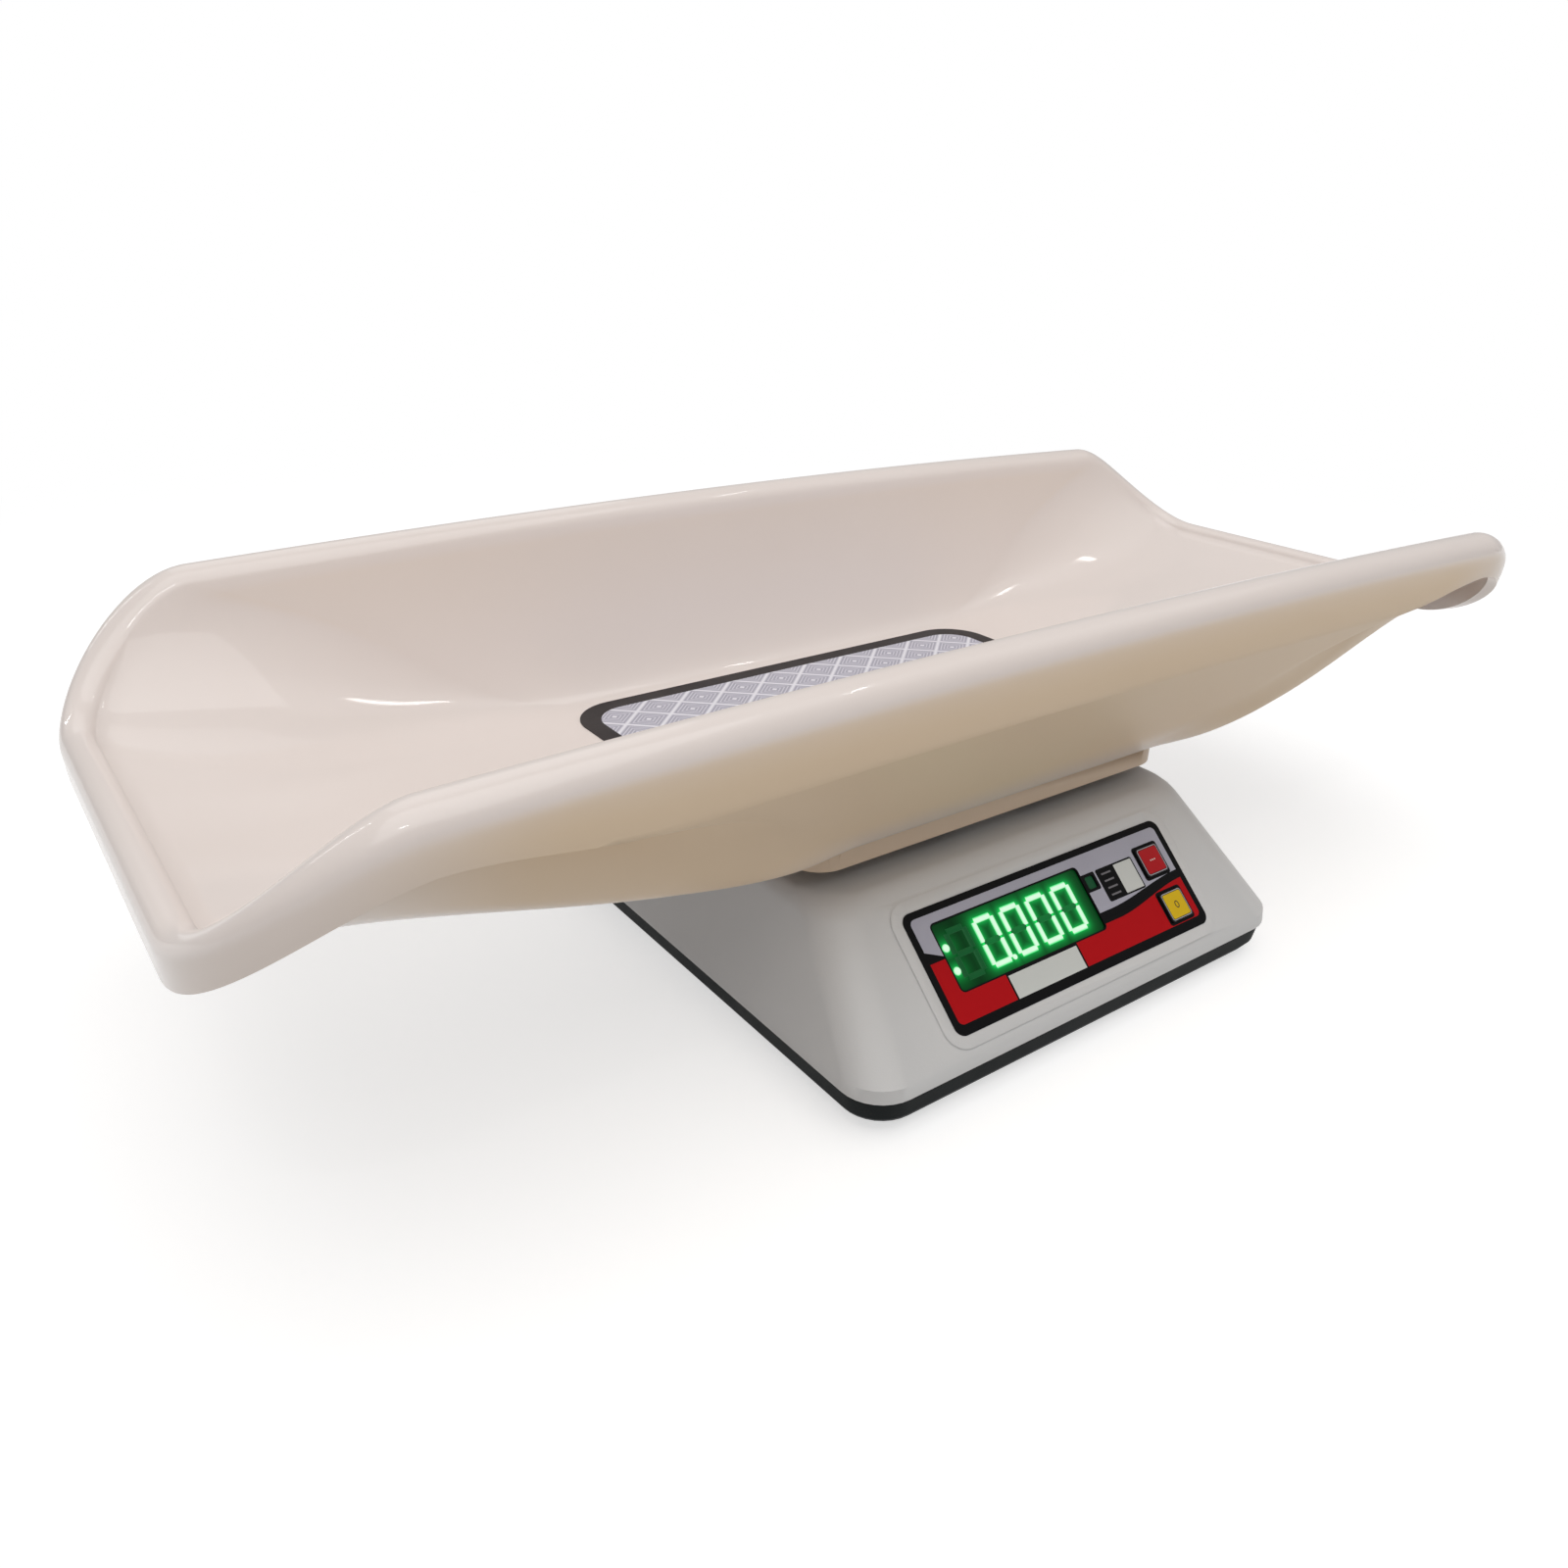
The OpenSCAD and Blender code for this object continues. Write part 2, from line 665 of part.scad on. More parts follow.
// How far the outline bows out at a station, and the rim's roll radius there
function bow(q) = q[0] == 2 ? 0 : side_bow * (1 - pow(rim_edge(q)[0] / half_len, 2));
function roll_r(q) = lerp(rim_r, lip_r, fall(q));
function rim_edge(q) = plan_point(half_len, half_w, corner_r, q);

// Outline from the floor's edge (u = 0) to the rim's outer edge (u = 1), with fuller corners on the way
fill_power = 3;
fill_peak = pow(fill_power / (fill_power + 1), fill_power) / (fill_power + 1);
function outline(q, u) =
    plan_point(lerp(floor_len / 2, half_len, u), lerp(floor_w / 2, half_w, u),
               lerp(floor_r, corner_r, u) + corner_fill * pow(u, fill_power) * (1 - u) / fill_peak, q)
    + [0, bow(q) * u];

// Height of the outer skin below the roll's centre, and how far it tucks in
function hem_drop(q) = lerp(side_hem, end_hem, open(q));
function tuck(q) = hem_tuck * (1 - fall(q)) * hem_drop(q) / side_hem;

// Height of the crest
function crest_z(q) =
    tray_floor_z + lerp(side_rise - rim_sag * pow(rim_edge(q)[0] / half_len, 2), end_rise, fall(q));

// Height of the wall, as a share of its whole rise, a share u of the way out along normal n
function wall_rise(u, n) =
    let (upturn = lip_share * n[0] * n[0])
    (1 - upturn) * pow(u, lerp(side_power, end_power, n[0])) + upturn * pow(u, lip_power);

// A point of the tray's upper skin: j counts rings from the flat floor out to the hem
function skin_point(q, j) =
    let (n = plan_normal(q),
         r = roll_r(q),
         c = outline(q, 1) - r * n,
         cz = crest_z(q) - r,
         u = j / wall_rings,
         a = roll_start * (1 - (j - wall_rings) / crest_rings),
         v = (j - wall_rings - crest_rings) / hem_rings)
    j <= wall_rings
        ? [each outline(q, u) - n * r * (1 - cos(roll_start)) * u,
           lerp(tray_floor_z, cz + r * sin(roll_start), wall_rise(u, n))]
    : j <= wall_rings + crest_rings
        ? [each c + n * r * cos(a), cz + r * sin(a)]
    : [each c + n * (r - tuck(q) * v * v), cz - hem_drop(q) * v];

// A point of the straight outer wall between the base's edge and the hem
wall_share = 0.85; // of the outer wall, that lies behind the inner wall's rings
function slant_point(q, j) =
    let (u = j <= wall_rings ? wall_share * j / wall_rings
             : lerp(wall_share, 1, (j - wall_rings) / (last_ring + 1 - wall_rings)))
    [each outline(q, u) - plan_normal(q) * tuck(q) * u, lerp(platter_top_z, skin_point(q, last_ring)[2], u)];

function at_station(st, p) = [st[0] * p[0], mid_y + st[1] * p[1], p[2]];

// The two triangles between stations i and i + 1 of the rings that start at points a and b
function band(a, b, i, n) = let (k = (i + 1) % n) [[a + i, a + k, b + k], [a + i, b + k, b + i]];

// Moulded shell. Its underside keeps the wall's thickness round the ends, where the rim overhangs;
// along the sides it runs straight from the hem to the edge of the base.
module tray() {
    n = len(stations);
    skin = [for (j = [0:last_ring]) [for (st = stations) at_station(st, skin_point(st[2], j))]];
    under = [for (j = [last_ring:-1:0]) [for (i = [0:n - 1])
        let (along = skin[j][(i + 1) % n] - skin[j][(i + n - 1) % n],
             out = skin[min(j + 1, last_ring)][i] - skin[max(j - 1, 0)][i],
             up = j == 0 ? [0, 0, 1] : unit(cross(out, along)),
             t = lerp(floor_t, tray_t, min(1, j / 3)),
             st = stations[i])
        lerp(at_station(st, slant_point(st[2], j)), skin[j][i] - t * up, open(st[2]))]];
    rings = concat(skin, under);
    color("#efe2dc")
    polyhedron(
        points = [for (r = rings, p = r) p],
        faces = concat(
            [[for (i = [n - 1:-1:0]) i]],
            [for (j = [0:len(rings) - 2], i = [0:n - 1]) each band(j * n, (j + 1) * n, i, n)],
            [[for (i = [0:n - 1]) (len(rings) - 1) * n + i]]));
}

module tray_pegs() {
    color("#efe2dc")
    translate([0, mid_y, platter_top_z - peg_len]) at_corners(peg_span_x, peg_span_y)
        cylinder(d = peg_d, h = peg_len);
}

module tray_label() {
    color("#c9c4cc")
    translate([0, mid_y, tray_floor_z])
        round_slab(floor_len - 2 * label_margin, floor_w - 2 * label_margin, label_t, floor_r - label_margin);
}

// ---------- display panel ----------

film_out = bezel_h - film_in; // level of the recess floor, out of the slope

module panel_film() {
    color("#3a3436")
    on_slope(0, 0, film_out)
    difference() {
        translate([0, panel_mid, 0]) round_slab(panel_w, panel_h, film_t, panel_r);
        translate([window_x, window_up, -small]) round_slab(window_w, window_h, film_t + 2 * small, 1.5);
        translate([lamp_x, lamp_up, -small]) round_slab(lamp_w - 1, lamp_h - 1, film_t + 2 * small, 0.8);
        for (up = [function_key_up, zero_key_up]) translate([key_x, up, -small])
            round_slab(key_w + 2 * fit_gap, key_w + 2 * fit_gap, film_t + 2 * small, 1.2);
    }
}

module display_lens() {
    color("#16351f")
    on_slope(window_x, window_up, film_out - lens_t)
        round_slab(lens_w, lens_h, lens_t, 2);
}

digit_count = 5;
digit_pitch = 12.9;
digit_h = 19.5;
digit_shift = -1.2; // the digits stand a little left in their window
digit_wall = 1.6; // between the digits' recesses
digit_sink = 0.3; // depth of the recesses
module_gap = 0.6; // between the digits' face and the back of the lens

// Five-digit display block, with one shallow recess a digit
module digit_block() {
    color("#102016")
    on_slope(window_x + digit_shift, window_up, -board_depth)
    difference() {
        face = board_depth + film_out - lens_t - module_gap;
        translate([-digit_count * digit_pitch / 2, -window_h / 2 + 1, 0])
            cube([digit_count * digit_pitch, window_h - 2, face]);
        for (i = [0:digit_count - 1])
            translate([(i - (digit_count - 1) / 2) * digit_pitch, 0, face - digit_sink + small])
                linear_extrude(digit_sink) square([digit_pitch - digit_wall, digit_h], center = true);
    }
}

module display_board() {
    color("#1f5a34")
    on_slope(0, panel_mid, -board_depth - board_t)
    difference() {
        translate([-board_w / 2, -board_h / 2, 0]) cube([board_w, board_h, board_t]);
        translate([0, 0, -small]) at_corners(board_screw_x, board_screw_y)
            cylinder(r = 1 + screw_gap, h = board_t + 2 * small);
    }
}

module display_board_screws() {
    color("#8f9396")
    on_slope(0, panel_mid, -board_depth - board_t) at_corners(board_screw_x, board_screw_y)
        screw(2, 6, 4, 1.2);
}

// Mains indicator: a lamp on the board whose head fills the small window
module mains_lamp() {
    color("#2f6b3c")
    on_slope(lamp_x, lamp_up, -board_depth) {
        cylinder(d = 3.6, h = board_depth - lamp_in);
        translate([0, 0, board_depth - lamp_in])
            round_slab(lamp_w - 2 * run_gap, lamp_h - 2 * run_gap, film_out + lamp_in, 0.9);
    }
}

switch_body_w = 6;
switch_body_h = 3.5;
plunger_d = 3.4;
plunger_in = 1; // depth of the plunger inside its switch at rest
stem_out = -board_depth + switch_body_h + 1.2; // level of the stem's end

module key_switches() {
    color("#202020")
    for (up = [function_key_up, zero_key_up]) on_slope(key_x, up, -board_depth)
        difference() {
            linear_extrude(switch_body_h) square(switch_body_w, center = true);
            translate([0, 0, switch_body_h - plunger_in - key_travel - 0.3])
                cylinder(r = plunger_d / 2 + run_gap, h = plunger_in + key_travel + 1);
        }
}

module plunger(up) {
    color("#d8d8d8")
    on_slope(key_x, up, -board_depth + switch_body_h - plunger_in)
        cylinder(d = plunger_d, h = stem_out + board_depth - switch_body_h + plunger_in);
}

// Key: a cap through the film, a flange behind it and a stem down to the switch
module key(up) {
    on_slope(key_x, up, 0) {
        translate([0, 0, film_out - flange_t])
            round_slab(key_w + 2 * key_flange, key_w + 2 * key_flange, flange_t, 1.5);
        translate([0, 0, film_out - small]) round_slab(key_w, key_w, film_t + key_out - film_out, 1);
        translate([0, 0, stem_out]) cylinder(d = stem_d, h = -stem_out - small);
    }
}

module function_key() {
    color("#b52a2c") key(function_key_up);
}

module zero_key() {
    color("#e2b21e") key(zero_key_up);
}

module function_key_plunger() {
    plunger(function_key_up);
}

module zero_key_plunger() {
    plunger(zero_key_up);
}

// ---------- electronics and power ----------

module main_board() {
    color("#1f5a34")
    translate([main_board_x, main_board_y, main_board_z])
    difference() {
        translate([-main_board_w / 2, -main_board_d / 2, 0]) cube([main_board_w, main_board_d, board_t]);
        translate([0, 0, -small]) at_corners(main_board_w - 8, main_board_d - 8)
            cylinder(r = 1 + screw_gap, h = board_t + 2 * small);
    }
}

module main_board_screws() {
    color("#8f9396")
    translate([main_board_x, main_board_y, main_board_z + board_t])
        at_corners(main_board_w - 8, main_board_d - 8) rotate([180, 0, 0]) screw(2, board_t, 4, 1.2);
}

terminal_gap = 24;
terminal_in = 8; // from the battery's end
terminal_d = 5;
terminal_h = 2;

module battery() {
    color("#2b2b30")
    translate([battery_x, battery_y, plate_floor_z]) {
        round_slab(battery_w, battery_len, battery_h, 2);
        for (s = [-1, 1]) translate([s * terminal_gap / 2, battery_len / 2 - terminal_in, battery_h])
            cylinder(d = terminal_d, h = terminal_h);
    }
}

module battery_door() {
    color("#24292b")
    translate([battery_x, battery_y, foot_h])
    difference() {
        union() {
            round_slab(door_w, door_len, door_t, 3);
            round_slab(battery_w, battery_len, plate_t, 2);
            for (s = [-1, 1]) translate([0, s * (battery_len / 2 + ledge + door_tab / 2), 0])
                round_slab(door_tab, door_tab + 3, door_t, 3);
        }
        for (s = [-1, 1]) translate([0, s * (battery_len / 2 + ledge + door_tab / 2), -small]) {
            cylinder(r = screw_d / 2 + screw_gap, h = plate_t);
            cylinder(d = 2 * screw_d + 2 * screw_gap, h = door_t / 2 + small);
        }
    }
}

module battery_door_screws() {
    color("#8f9396")
    for (s = [-1, 1])
        translate([battery_x, battery_y + s * (battery_len / 2 + ledge + door_tab / 2), foot_h + door_t / 2])
            screw(screw_d, plate_t, 2 * screw_d, door_t / 2 - 0.1);
}

inlet_depth = 10;
inlet_body_w = 14;
inlet_body_h = 11;
inlet_body_low = 6; // how far the body reaches below the socket's axis
pin_in = 1.5; // the pin's tip stands back from the wall's face

module power_inlet() {
    color("#1a1a1a")
    translate([inlet_x, back_y, inlet_z]) rotate([90, 0, 0])
    difference() {
        union() {
            cylinder(d = inlet_nose_d, h = housing_t + small);
            translate([-inlet_body_w / 2, -inlet_body_low, housing_t])
                cube([inlet_body_w, inlet_body_h, inlet_depth]);
        }
        translate([0, 0, -small]) cylinder(d = inlet_d, h = inlet_depth);
    }
}

module power_inlet_pin() {
    color("#c8c8c8")
    translate([inlet_x, back_y - pin_in, inlet_z]) rotate([90, 0, 0])
        cylinder(d = inlet_pin_d, h = inlet_depth - pin_in - small);
}

pivot_depth = 2; // of the rocker's axis below the back wall
pivot_d = 3;
pivot_y = back_y - pivot_depth;
rocker_body_depth = 12;

module power_switch_frame() {
    color("#1a1a1a")
    translate([switch_x, back_y, switch_z]) rotate([-90, 0, 0])
    difference() {
        union() {
            round_slab(switch_len + 2 * switch_flange, switch_w + 2 * switch_flange, 1.6, 1.5);
            translate([0, 0, -rocker_body_depth])
                round_slab(switch_len - 2 * run_gap, switch_w - 2 * run_gap, rocker_body_depth + small, 0.9);
        }
        translate([-(rocker_len / 2 + switch_gap + 1), -(rocker_w / 2 + fit_gap), -pivot_depth - 5])
            cube([rocker_len + 2 * switch_gap + 2, rocker_w + 2 * fit_gap, pivot_depth + 10]);
        translate([0, -rocker_w / 2 - 1.5, -pivot_depth]) rotate([-90, 0, 0])
            cylinder(r = pivot_d / 2 + run_gap, h = rocker_w + 3);
    }
}

// Rocker with a hollowed face, stored pressed in on its "on" side
module power_rocker() {
    color("#2b2b2b")
    translate([switch_x, pivot_y, switch_z]) rotate([0, 0, rocker_tilt]) {
        translate([0, 0, -rocker_w / 2]) linear_extrude(rocker_w)
            polygon([[-rocker_len / 2 + 2, -2], [rocker_len / 2 - 2, -2], [rocker_len / 2, pivot_depth + 3],
                     [0, pivot_depth + 1.2], [-rocker_len / 2, pivot_depth + 3]]);
        translate([0, 0, -rocker_w / 2 - 1]) cylinder(d = pivot_d, h = rocker_w + 2);
    }
}

base_plate();
rubber_feet();
top_housing();
housing_screws();
load_cell_spacer();
load_cell();
load_cell_base_screws();
overload_screw();
corner_stops();
load_cell_post();
spider();
load_cell_top_screws();
platter_pads();
platter();
tray();
tray_pegs();
tray_label();
panel_film();
display_lens();
digit_block();
display_board();
display_board_screws();
mains_lamp();
key_switches();
function_key();
function_key_plunger();
zero_key();
zero_key_plunger();
main_board();
main_board_screws();
battery();
battery_door();
battery_door_screws();
power_inlet();
power_inlet_pin();
power_switch_frame();
power_rocker();
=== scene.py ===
import bpy
import bmesh
import json
import math
from mathutils import Matrix, Vector

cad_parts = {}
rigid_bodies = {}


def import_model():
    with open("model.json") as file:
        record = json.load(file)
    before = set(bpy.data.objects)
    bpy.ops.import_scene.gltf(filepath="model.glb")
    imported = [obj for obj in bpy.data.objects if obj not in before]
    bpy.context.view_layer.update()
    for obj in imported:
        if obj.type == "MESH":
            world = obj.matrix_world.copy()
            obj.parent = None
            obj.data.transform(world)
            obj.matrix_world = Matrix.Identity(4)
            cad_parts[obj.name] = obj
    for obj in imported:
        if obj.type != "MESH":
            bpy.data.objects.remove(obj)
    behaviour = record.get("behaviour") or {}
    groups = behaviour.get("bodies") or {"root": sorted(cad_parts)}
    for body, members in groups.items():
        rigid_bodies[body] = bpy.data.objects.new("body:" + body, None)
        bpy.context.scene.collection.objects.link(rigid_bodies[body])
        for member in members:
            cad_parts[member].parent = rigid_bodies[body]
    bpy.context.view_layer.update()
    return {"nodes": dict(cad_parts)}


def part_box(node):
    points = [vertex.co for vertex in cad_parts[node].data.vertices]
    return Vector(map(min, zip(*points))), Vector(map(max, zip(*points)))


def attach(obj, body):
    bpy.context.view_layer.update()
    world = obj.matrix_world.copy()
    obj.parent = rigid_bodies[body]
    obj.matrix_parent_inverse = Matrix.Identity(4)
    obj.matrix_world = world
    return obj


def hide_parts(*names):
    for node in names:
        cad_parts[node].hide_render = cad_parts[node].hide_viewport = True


# Digital baby weighing scale: glossy baby tray on a satin housing with a lit display panel

for spare in list(bpy.data.objects):
    bpy.data.objects.remove(spare)
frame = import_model()
middleY = 0.0045  # the tray's centre line lies behind the middle of the overall depth


# Numbers that flow between nodes, in a material or in geometry

def mathNode(operation):  # a method that sends its numbers through one Math node
    def method(self, *others):
        return self.math(operation, *others)
    return method


class Flow:  # one number socket, ready for sums
    def __init__(self, tree, socket):
        self.tree = tree
        self.socket = socket

    def math(self, operation, *others):
        node = self.tree.nodes.new("ShaderNodeMath")
        node.operation = operation
        for entry, value in zip(node.inputs, (self, *others)):
            plug(self.tree, value, entry)
        return Flow(self.tree, node.outputs[0])

    __add__ = __radd__ = mathNode("ADD")
    __sub__ = mathNode("SUBTRACT")
    __mul__ = __rmul__ = mathNode("MULTIPLY")
    __truediv__ = mathNode("DIVIDE")
    __pow__ = mathNode("POWER")
    __lt__ = mathNode("LESS_THAN")
    __gt__ = mathNode("GREATER_THAN")
    __abs__ = mathNode("ABSOLUTE")
    sin = mathNode("SINE")
    cos = mathNode("COSINE")
    fract = mathNode("FRACT")
    least = mathNode("MINIMUM")
    most = mathNode("MAXIMUM")

    def __neg__(self):
        return self * -1.0

    def __rsub__(self, other):
        return (-self) + other

    def clamp(self):
        return self.most(0.0).least(1.0)


def plug(tree, value, entry):
    if isinstance(value, Flow):
        tree.links.new(value.socket, entry)
    elif isinstance(value, bpy.types.NodeSocket):
        tree.links.new(value, entry)
    else:
        entry.default_value = value


def mix(a, b, t):
    return a + (b - a) * t


def ease(t):  # 0 to 1 with a level start and end
    c = t.clamp()
    return c * c * (3.0 - c * 2.0)


def length(a, b):
    return (a * a + b * b).math("SQRT")


def roundBox(x, y, centre, half, radius):  # distance outside a rectangle with round corners
    dx = abs(x - centre[0]) - (half[0] - radius)
    dy = abs(y - centre[1]) - (half[1] - radius)
    return length(dx.most(0.0), dy.most(0.0)) + dx.most(dy).least(0.0) - radius


def addNode(tree, kind, settings=None, **entries):
    node = tree.nodes.new(kind)
    for key, value in (settings or {}).items():
        setattr(node, key, value)
    for key, value in entries.items():
        plug(tree, value, node.inputs[key.replace("_", " ")])
    return node


def vector(tree, x, y, z):
    node = tree.nodes.new("ShaderNodeCombineXYZ")
    for value, entry in zip((x, y, z), node.inputs):
        plug(tree, value, entry)
    return node.outputs[0]


# Finishes

def srgb(red, green, blue, alpha=1.0):  # 0..255 as seen, to what the shader wants
    return tuple(((c / 255 + 0.055) / 1.055) ** 2.4 if c > 10 else c / 255 / 12.92
                 for c in (red, green, blue)) + (alpha,)


def newMaterial(name):
    material = bpy.data.materials.new(name)
    material.use_nodes = True
    tree = material.node_tree
    return material, tree, tree.nodes["Principled BSDF"]


def objectSpace(tree):
    coords = tree.nodes.new("ShaderNodeTexCoord").outputs["Object"]
    split = addNode(tree, "ShaderNodeSeparateXYZ", Vector=coords)
    return coords, [Flow(tree, out) for out in split.outputs]


def noise(tree, coords, scale, detail=2.0, rough=0.5):
    node = addNode(tree, "ShaderNodeTexNoise", Vector=coords, Scale=scale, Detail=detail, Roughness=rough)
    return Flow(tree, node.outputs["Fac"])


def darker(color, share):  # the same hue with this share of its light
    return tuple(c * share for c in color[:3]) + (1.0,)


def mixColor(tree, factor, a, b):
    node = addNode(tree, "ShaderNodeMix", {"data_type": "RGBA"})
    # inputs 6 and 7 and output 2 are this node's colours
    for value, entry in ((factor, node.inputs[0]), (a, node.inputs[6]), (b, node.inputs[7])):
        plug(tree, value, entry)
    return node.outputs[2]


def bump(tree, shader, height, distance):
    node = addNode(tree, "ShaderNodeBump", Height=height, Distance=distance)
    tree.links.new(node.outputs[0], shader.inputs["Normal"])


def setInputs(node, **values):  # fixed values by name, with _ for a space
    for key, value in values.items():
        node.inputs[key.replace("_", " ")].default_value = value


def unevenGloss(tree, shader, coords, rough, spread, scale, detail=3.0):
    # roughness that wanders over the surface by up to spread
    plug(tree, noise(tree, coords, scale, detail) * spread + rough, shader.inputs["Roughness"])


wear = {"gain": 1.6, "low": 0.3, "finer": 4, "smudge": (0.8, 0.4)}  # shared by the plain finishes


def surface(name, color, rough, mottle, mottleScale, grain, grainScale,
            metallic=0.0, brushed=None, specular=0.5):
    # one moulded, cast or rolled finish: slow colour drift, uneven gloss and a fine grain
    material, tree, shader = newMaterial(name)
    coords, _ = objectSpace(tree)
    drift = (noise(tree, coords, mottleScale, 3.0) * wear["gain"] - wear["low"]).clamp()
    tree.links.new(mixColor(tree, drift, darker(color, 1 - mottle), color), shader.inputs["Base Color"])
    smudge = noise(tree, coords, mottleScale * wear["finer"], 4.0, 0.6)
    plug(tree, rough * (wear["smudge"][0] + smudge * wear["smudge"][1]), shader.inputs["Roughness"])
    if brushed:  # direction of the brush lines, as a stretch of the pattern
        coords = addNode(tree, "ShaderNodeMapping", Vector=coords, Scale=brushed).outputs[0]
    bump(tree, shader, noise(tree, coords, grainScale, 2.0), grain)
    setInputs(shader, Metallic=metallic, Specular_IOR_Level=specular)
    return material


finishes = {
    "housing": surface("housingSatin", srgb(214, 213, 212), 0.42, 0.035, 7.0, 0.00003, 1900.0),
    "charcoal": surface("baseCharcoal", srgb(20, 25, 26), 0.6, 0.12, 12.0, 0.00005, 1500.0, specular=0.12),
    "platter": surface("platterPlastic", srgb(214, 190, 164), 0.36, 0.05, 10.0, 0.00003, 1400.0),
    "rubber": surface("footRubber", srgb(30, 30, 31), 0.75, 0.2, 30.0, 0.00008, 900.0),
    "steel": surface("screwSteel", srgb(176, 178, 182), 0.3, 0.1, 60.0, 0.00002, 2500.0, 1.0),
    "alloy": surface("beamAlloy", srgb(196, 198, 202), 0.34, 0.06, 25.0, 0.00003, 700.0, 1.0,
                     brushed=(1.0, 0.05, 1.0)),
    "cast": surface("carrierCasting", srgb(150, 153, 157), 0.55, 0.12, 40.0, 0.00012, 500.0, 1.0),
    "board": surface("boardLaminate", srgb(30, 92, 50), 0.35, 0.15, 80.0, 0.00002, 600.0),
    "battery": surface("batteryCase", srgb(44, 45, 50), 0.5, 0.1, 15.0, 0.00006, 800.0),
    "switch": surface("switchPlastic", srgb(26, 26, 28), 0.3, 0.15, 30.0, 0.00002, 1200.0),
    "plunger": surface("plungerNylon", srgb(214, 212, 206), 0.5, 0.05, 30.0, 0.00002, 1200.0),
    "keyPrint": surface("keyPrintWhite", srgb(226, 214, 208), 0.4, 0.05, 90.0, 0.00001, 1300.0),
    "keyInk": surface("keyPrintInk", srgb(52, 42, 26), 0.4, 0.05, 90.0, 0.00001, 1300.0),
    "mark": surface("switchMark", srgb(220, 220, 216), 0.4, 0.05, 90.0, 0.00001, 1300.0),
}
print("finishes: ready")


# Shared ways of making pieces

def addPiece(name, mesh, material, body, replaced=()):
    piece = bpy.data.objects.new(name, mesh)
    bpy.context.scene.collection.objects.link(piece)
    if material:
        mesh.materials.clear()
        mesh.materials.append(material)
    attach(piece, body)
    if replaced:
        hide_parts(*replaced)
    return piece


weldGap = 2e-6  # points nearer than this become one


def meshFrom(work, name):
    mesh = bpy.data.meshes.new(name)
    work.to_mesh(mesh)
    work.free()
    return mesh


def settle(mesh, angle):  # welded, facing out, and smooth up to edges of this angle
    work = bmesh.new()
    work.from_mesh(mesh)
    bmesh.ops.remove_doubles(work, verts=work.verts, dist=weldGap)
    bmesh.ops.dissolve_degenerate(work, edges=work.edges, dist=weldGap / 2)
    bmesh.ops.recalc_face_normals(work, faces=work.faces)
    work.to_mesh(mesh)
    work.free()
    mesh.shade_smooth()
    mesh.set_sharp_from_angle(angle=math.radians(angle))
    return mesh


def bake(piece):  # the evaluated result as a plain mesh, its modifiers gone
    bpy.context.view_layer.update()
    graph = bpy.context.evaluated_depsgraph_get()
    mesh = bpy.data.meshes.new_from_object(piece.evaluated_get(graph), depsgraph=graph)
    mesh.name = piece.name + "Mesh"
    piece.modifiers.clear()
    piece.data = mesh
    return mesh


def smoothed(node, name, material, body, angle, bevel=0.0):
    # a CAD node's own shape with merged corners, soft edges and even normals
    mesh = settle(frame["nodes"][node].data.copy(), angle)
    piece = bpy.data.objects.new(name, mesh)
    bpy.context.scene.collection.objects.link(piece)
    if bevel:
        flat = piece.modifiers.new("join", "DECIMATE")
        flat.decimate_type = "DISSOLVE"
        flat.angle_limit = math.radians(1)
        edge = piece.modifiers.new("edges", "BEVEL")
        edge.width = bevel
        edge.segments = 2
        edge.limit_method = "ANGLE"
        edge.angle_limit = math.radians(angle)
        edge.use_clamp_overlap = True
    even = piece.modifiers.new("normals", "WEIGHTED_NORMAL")
    even.keep_sharp = True
    mesh = bake(piece)
    mesh.materials.clear()
    mesh.materials.append(material)
    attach(piece, body)
    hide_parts(node)
    return piece


def newGeometry(name, sizes):  # a Geometry Nodes tree with one named input a size
    tree = bpy.data.node_groups.new(name, "GeometryNodeTree")
    for key, value in sizes.items():
        kind = "NodeSocketInt" if isinstance(value, int) else "NodeSocketFloat"
        tree.interface.new_socket(key, in_out="INPUT", socket_type=kind).default_value = value
    tree.interface.new_socket("Geometry", in_out="OUTPUT", socket_type="NodeSocketGeometry")
    entry = tree.nodes.new("NodeGroupInput")
    size = {key: Flow(tree, entry.outputs[key]) for key in sizes}
    return tree, size


def closeGeometry(tree, geometry, material):
    realized = addNode(tree, "GeometryNodeRealizeInstances", Geometry=geometry)
    painted = addNode(tree, "GeometryNodeSetMaterial", Geometry=realized.outputs[0], Material=material)
    tree.links.new(painted.outputs[0], tree.nodes.new("NodeGroupOutput").inputs[0])


def grow(name, tree, sizes, body, replaced=(), angle=35.0):
    # runs a Geometry Nodes tree on an empty mesh and keeps the result as a plain piece
    piece = bpy.data.objects.new(name, bpy.data.meshes.new(name + "Seed"))
    bpy.context.scene.collection.objects.link(piece)
    modifier = piece.modifiers.new("grow", "NODES")
    modifier.node_group = tree
    for item in tree.interface.items_tree:
        if item.item_type == "SOCKET" and item.in_out == "INPUT":
            modifier[item.identifier] = sizes[item.name]
    settle(bake(piece), angle)
    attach(piece, body)
    if replaced:
        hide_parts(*replaced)
    return piece


def transform(tree, geometry, move=None, scale=None, turn=None):
    node = addNode(tree, "GeometryNodeTransform", Geometry=geometry)
    for value, key in ((move, "Translation"), (scale, "Scale"), (turn, "Rotation")):
        if value is not None:
            plug(tree, value, node.inputs[key])
    return node.outputs[0]


def join(tree, *parts):  # this entry puts later links first
    node = tree.nodes.new("GeometryNodeJoinGeometry")
    for part in reversed(parts):
        tree.links.new(part, node.inputs[0])
    return node.outputs[0]


# Camera, from the photograph

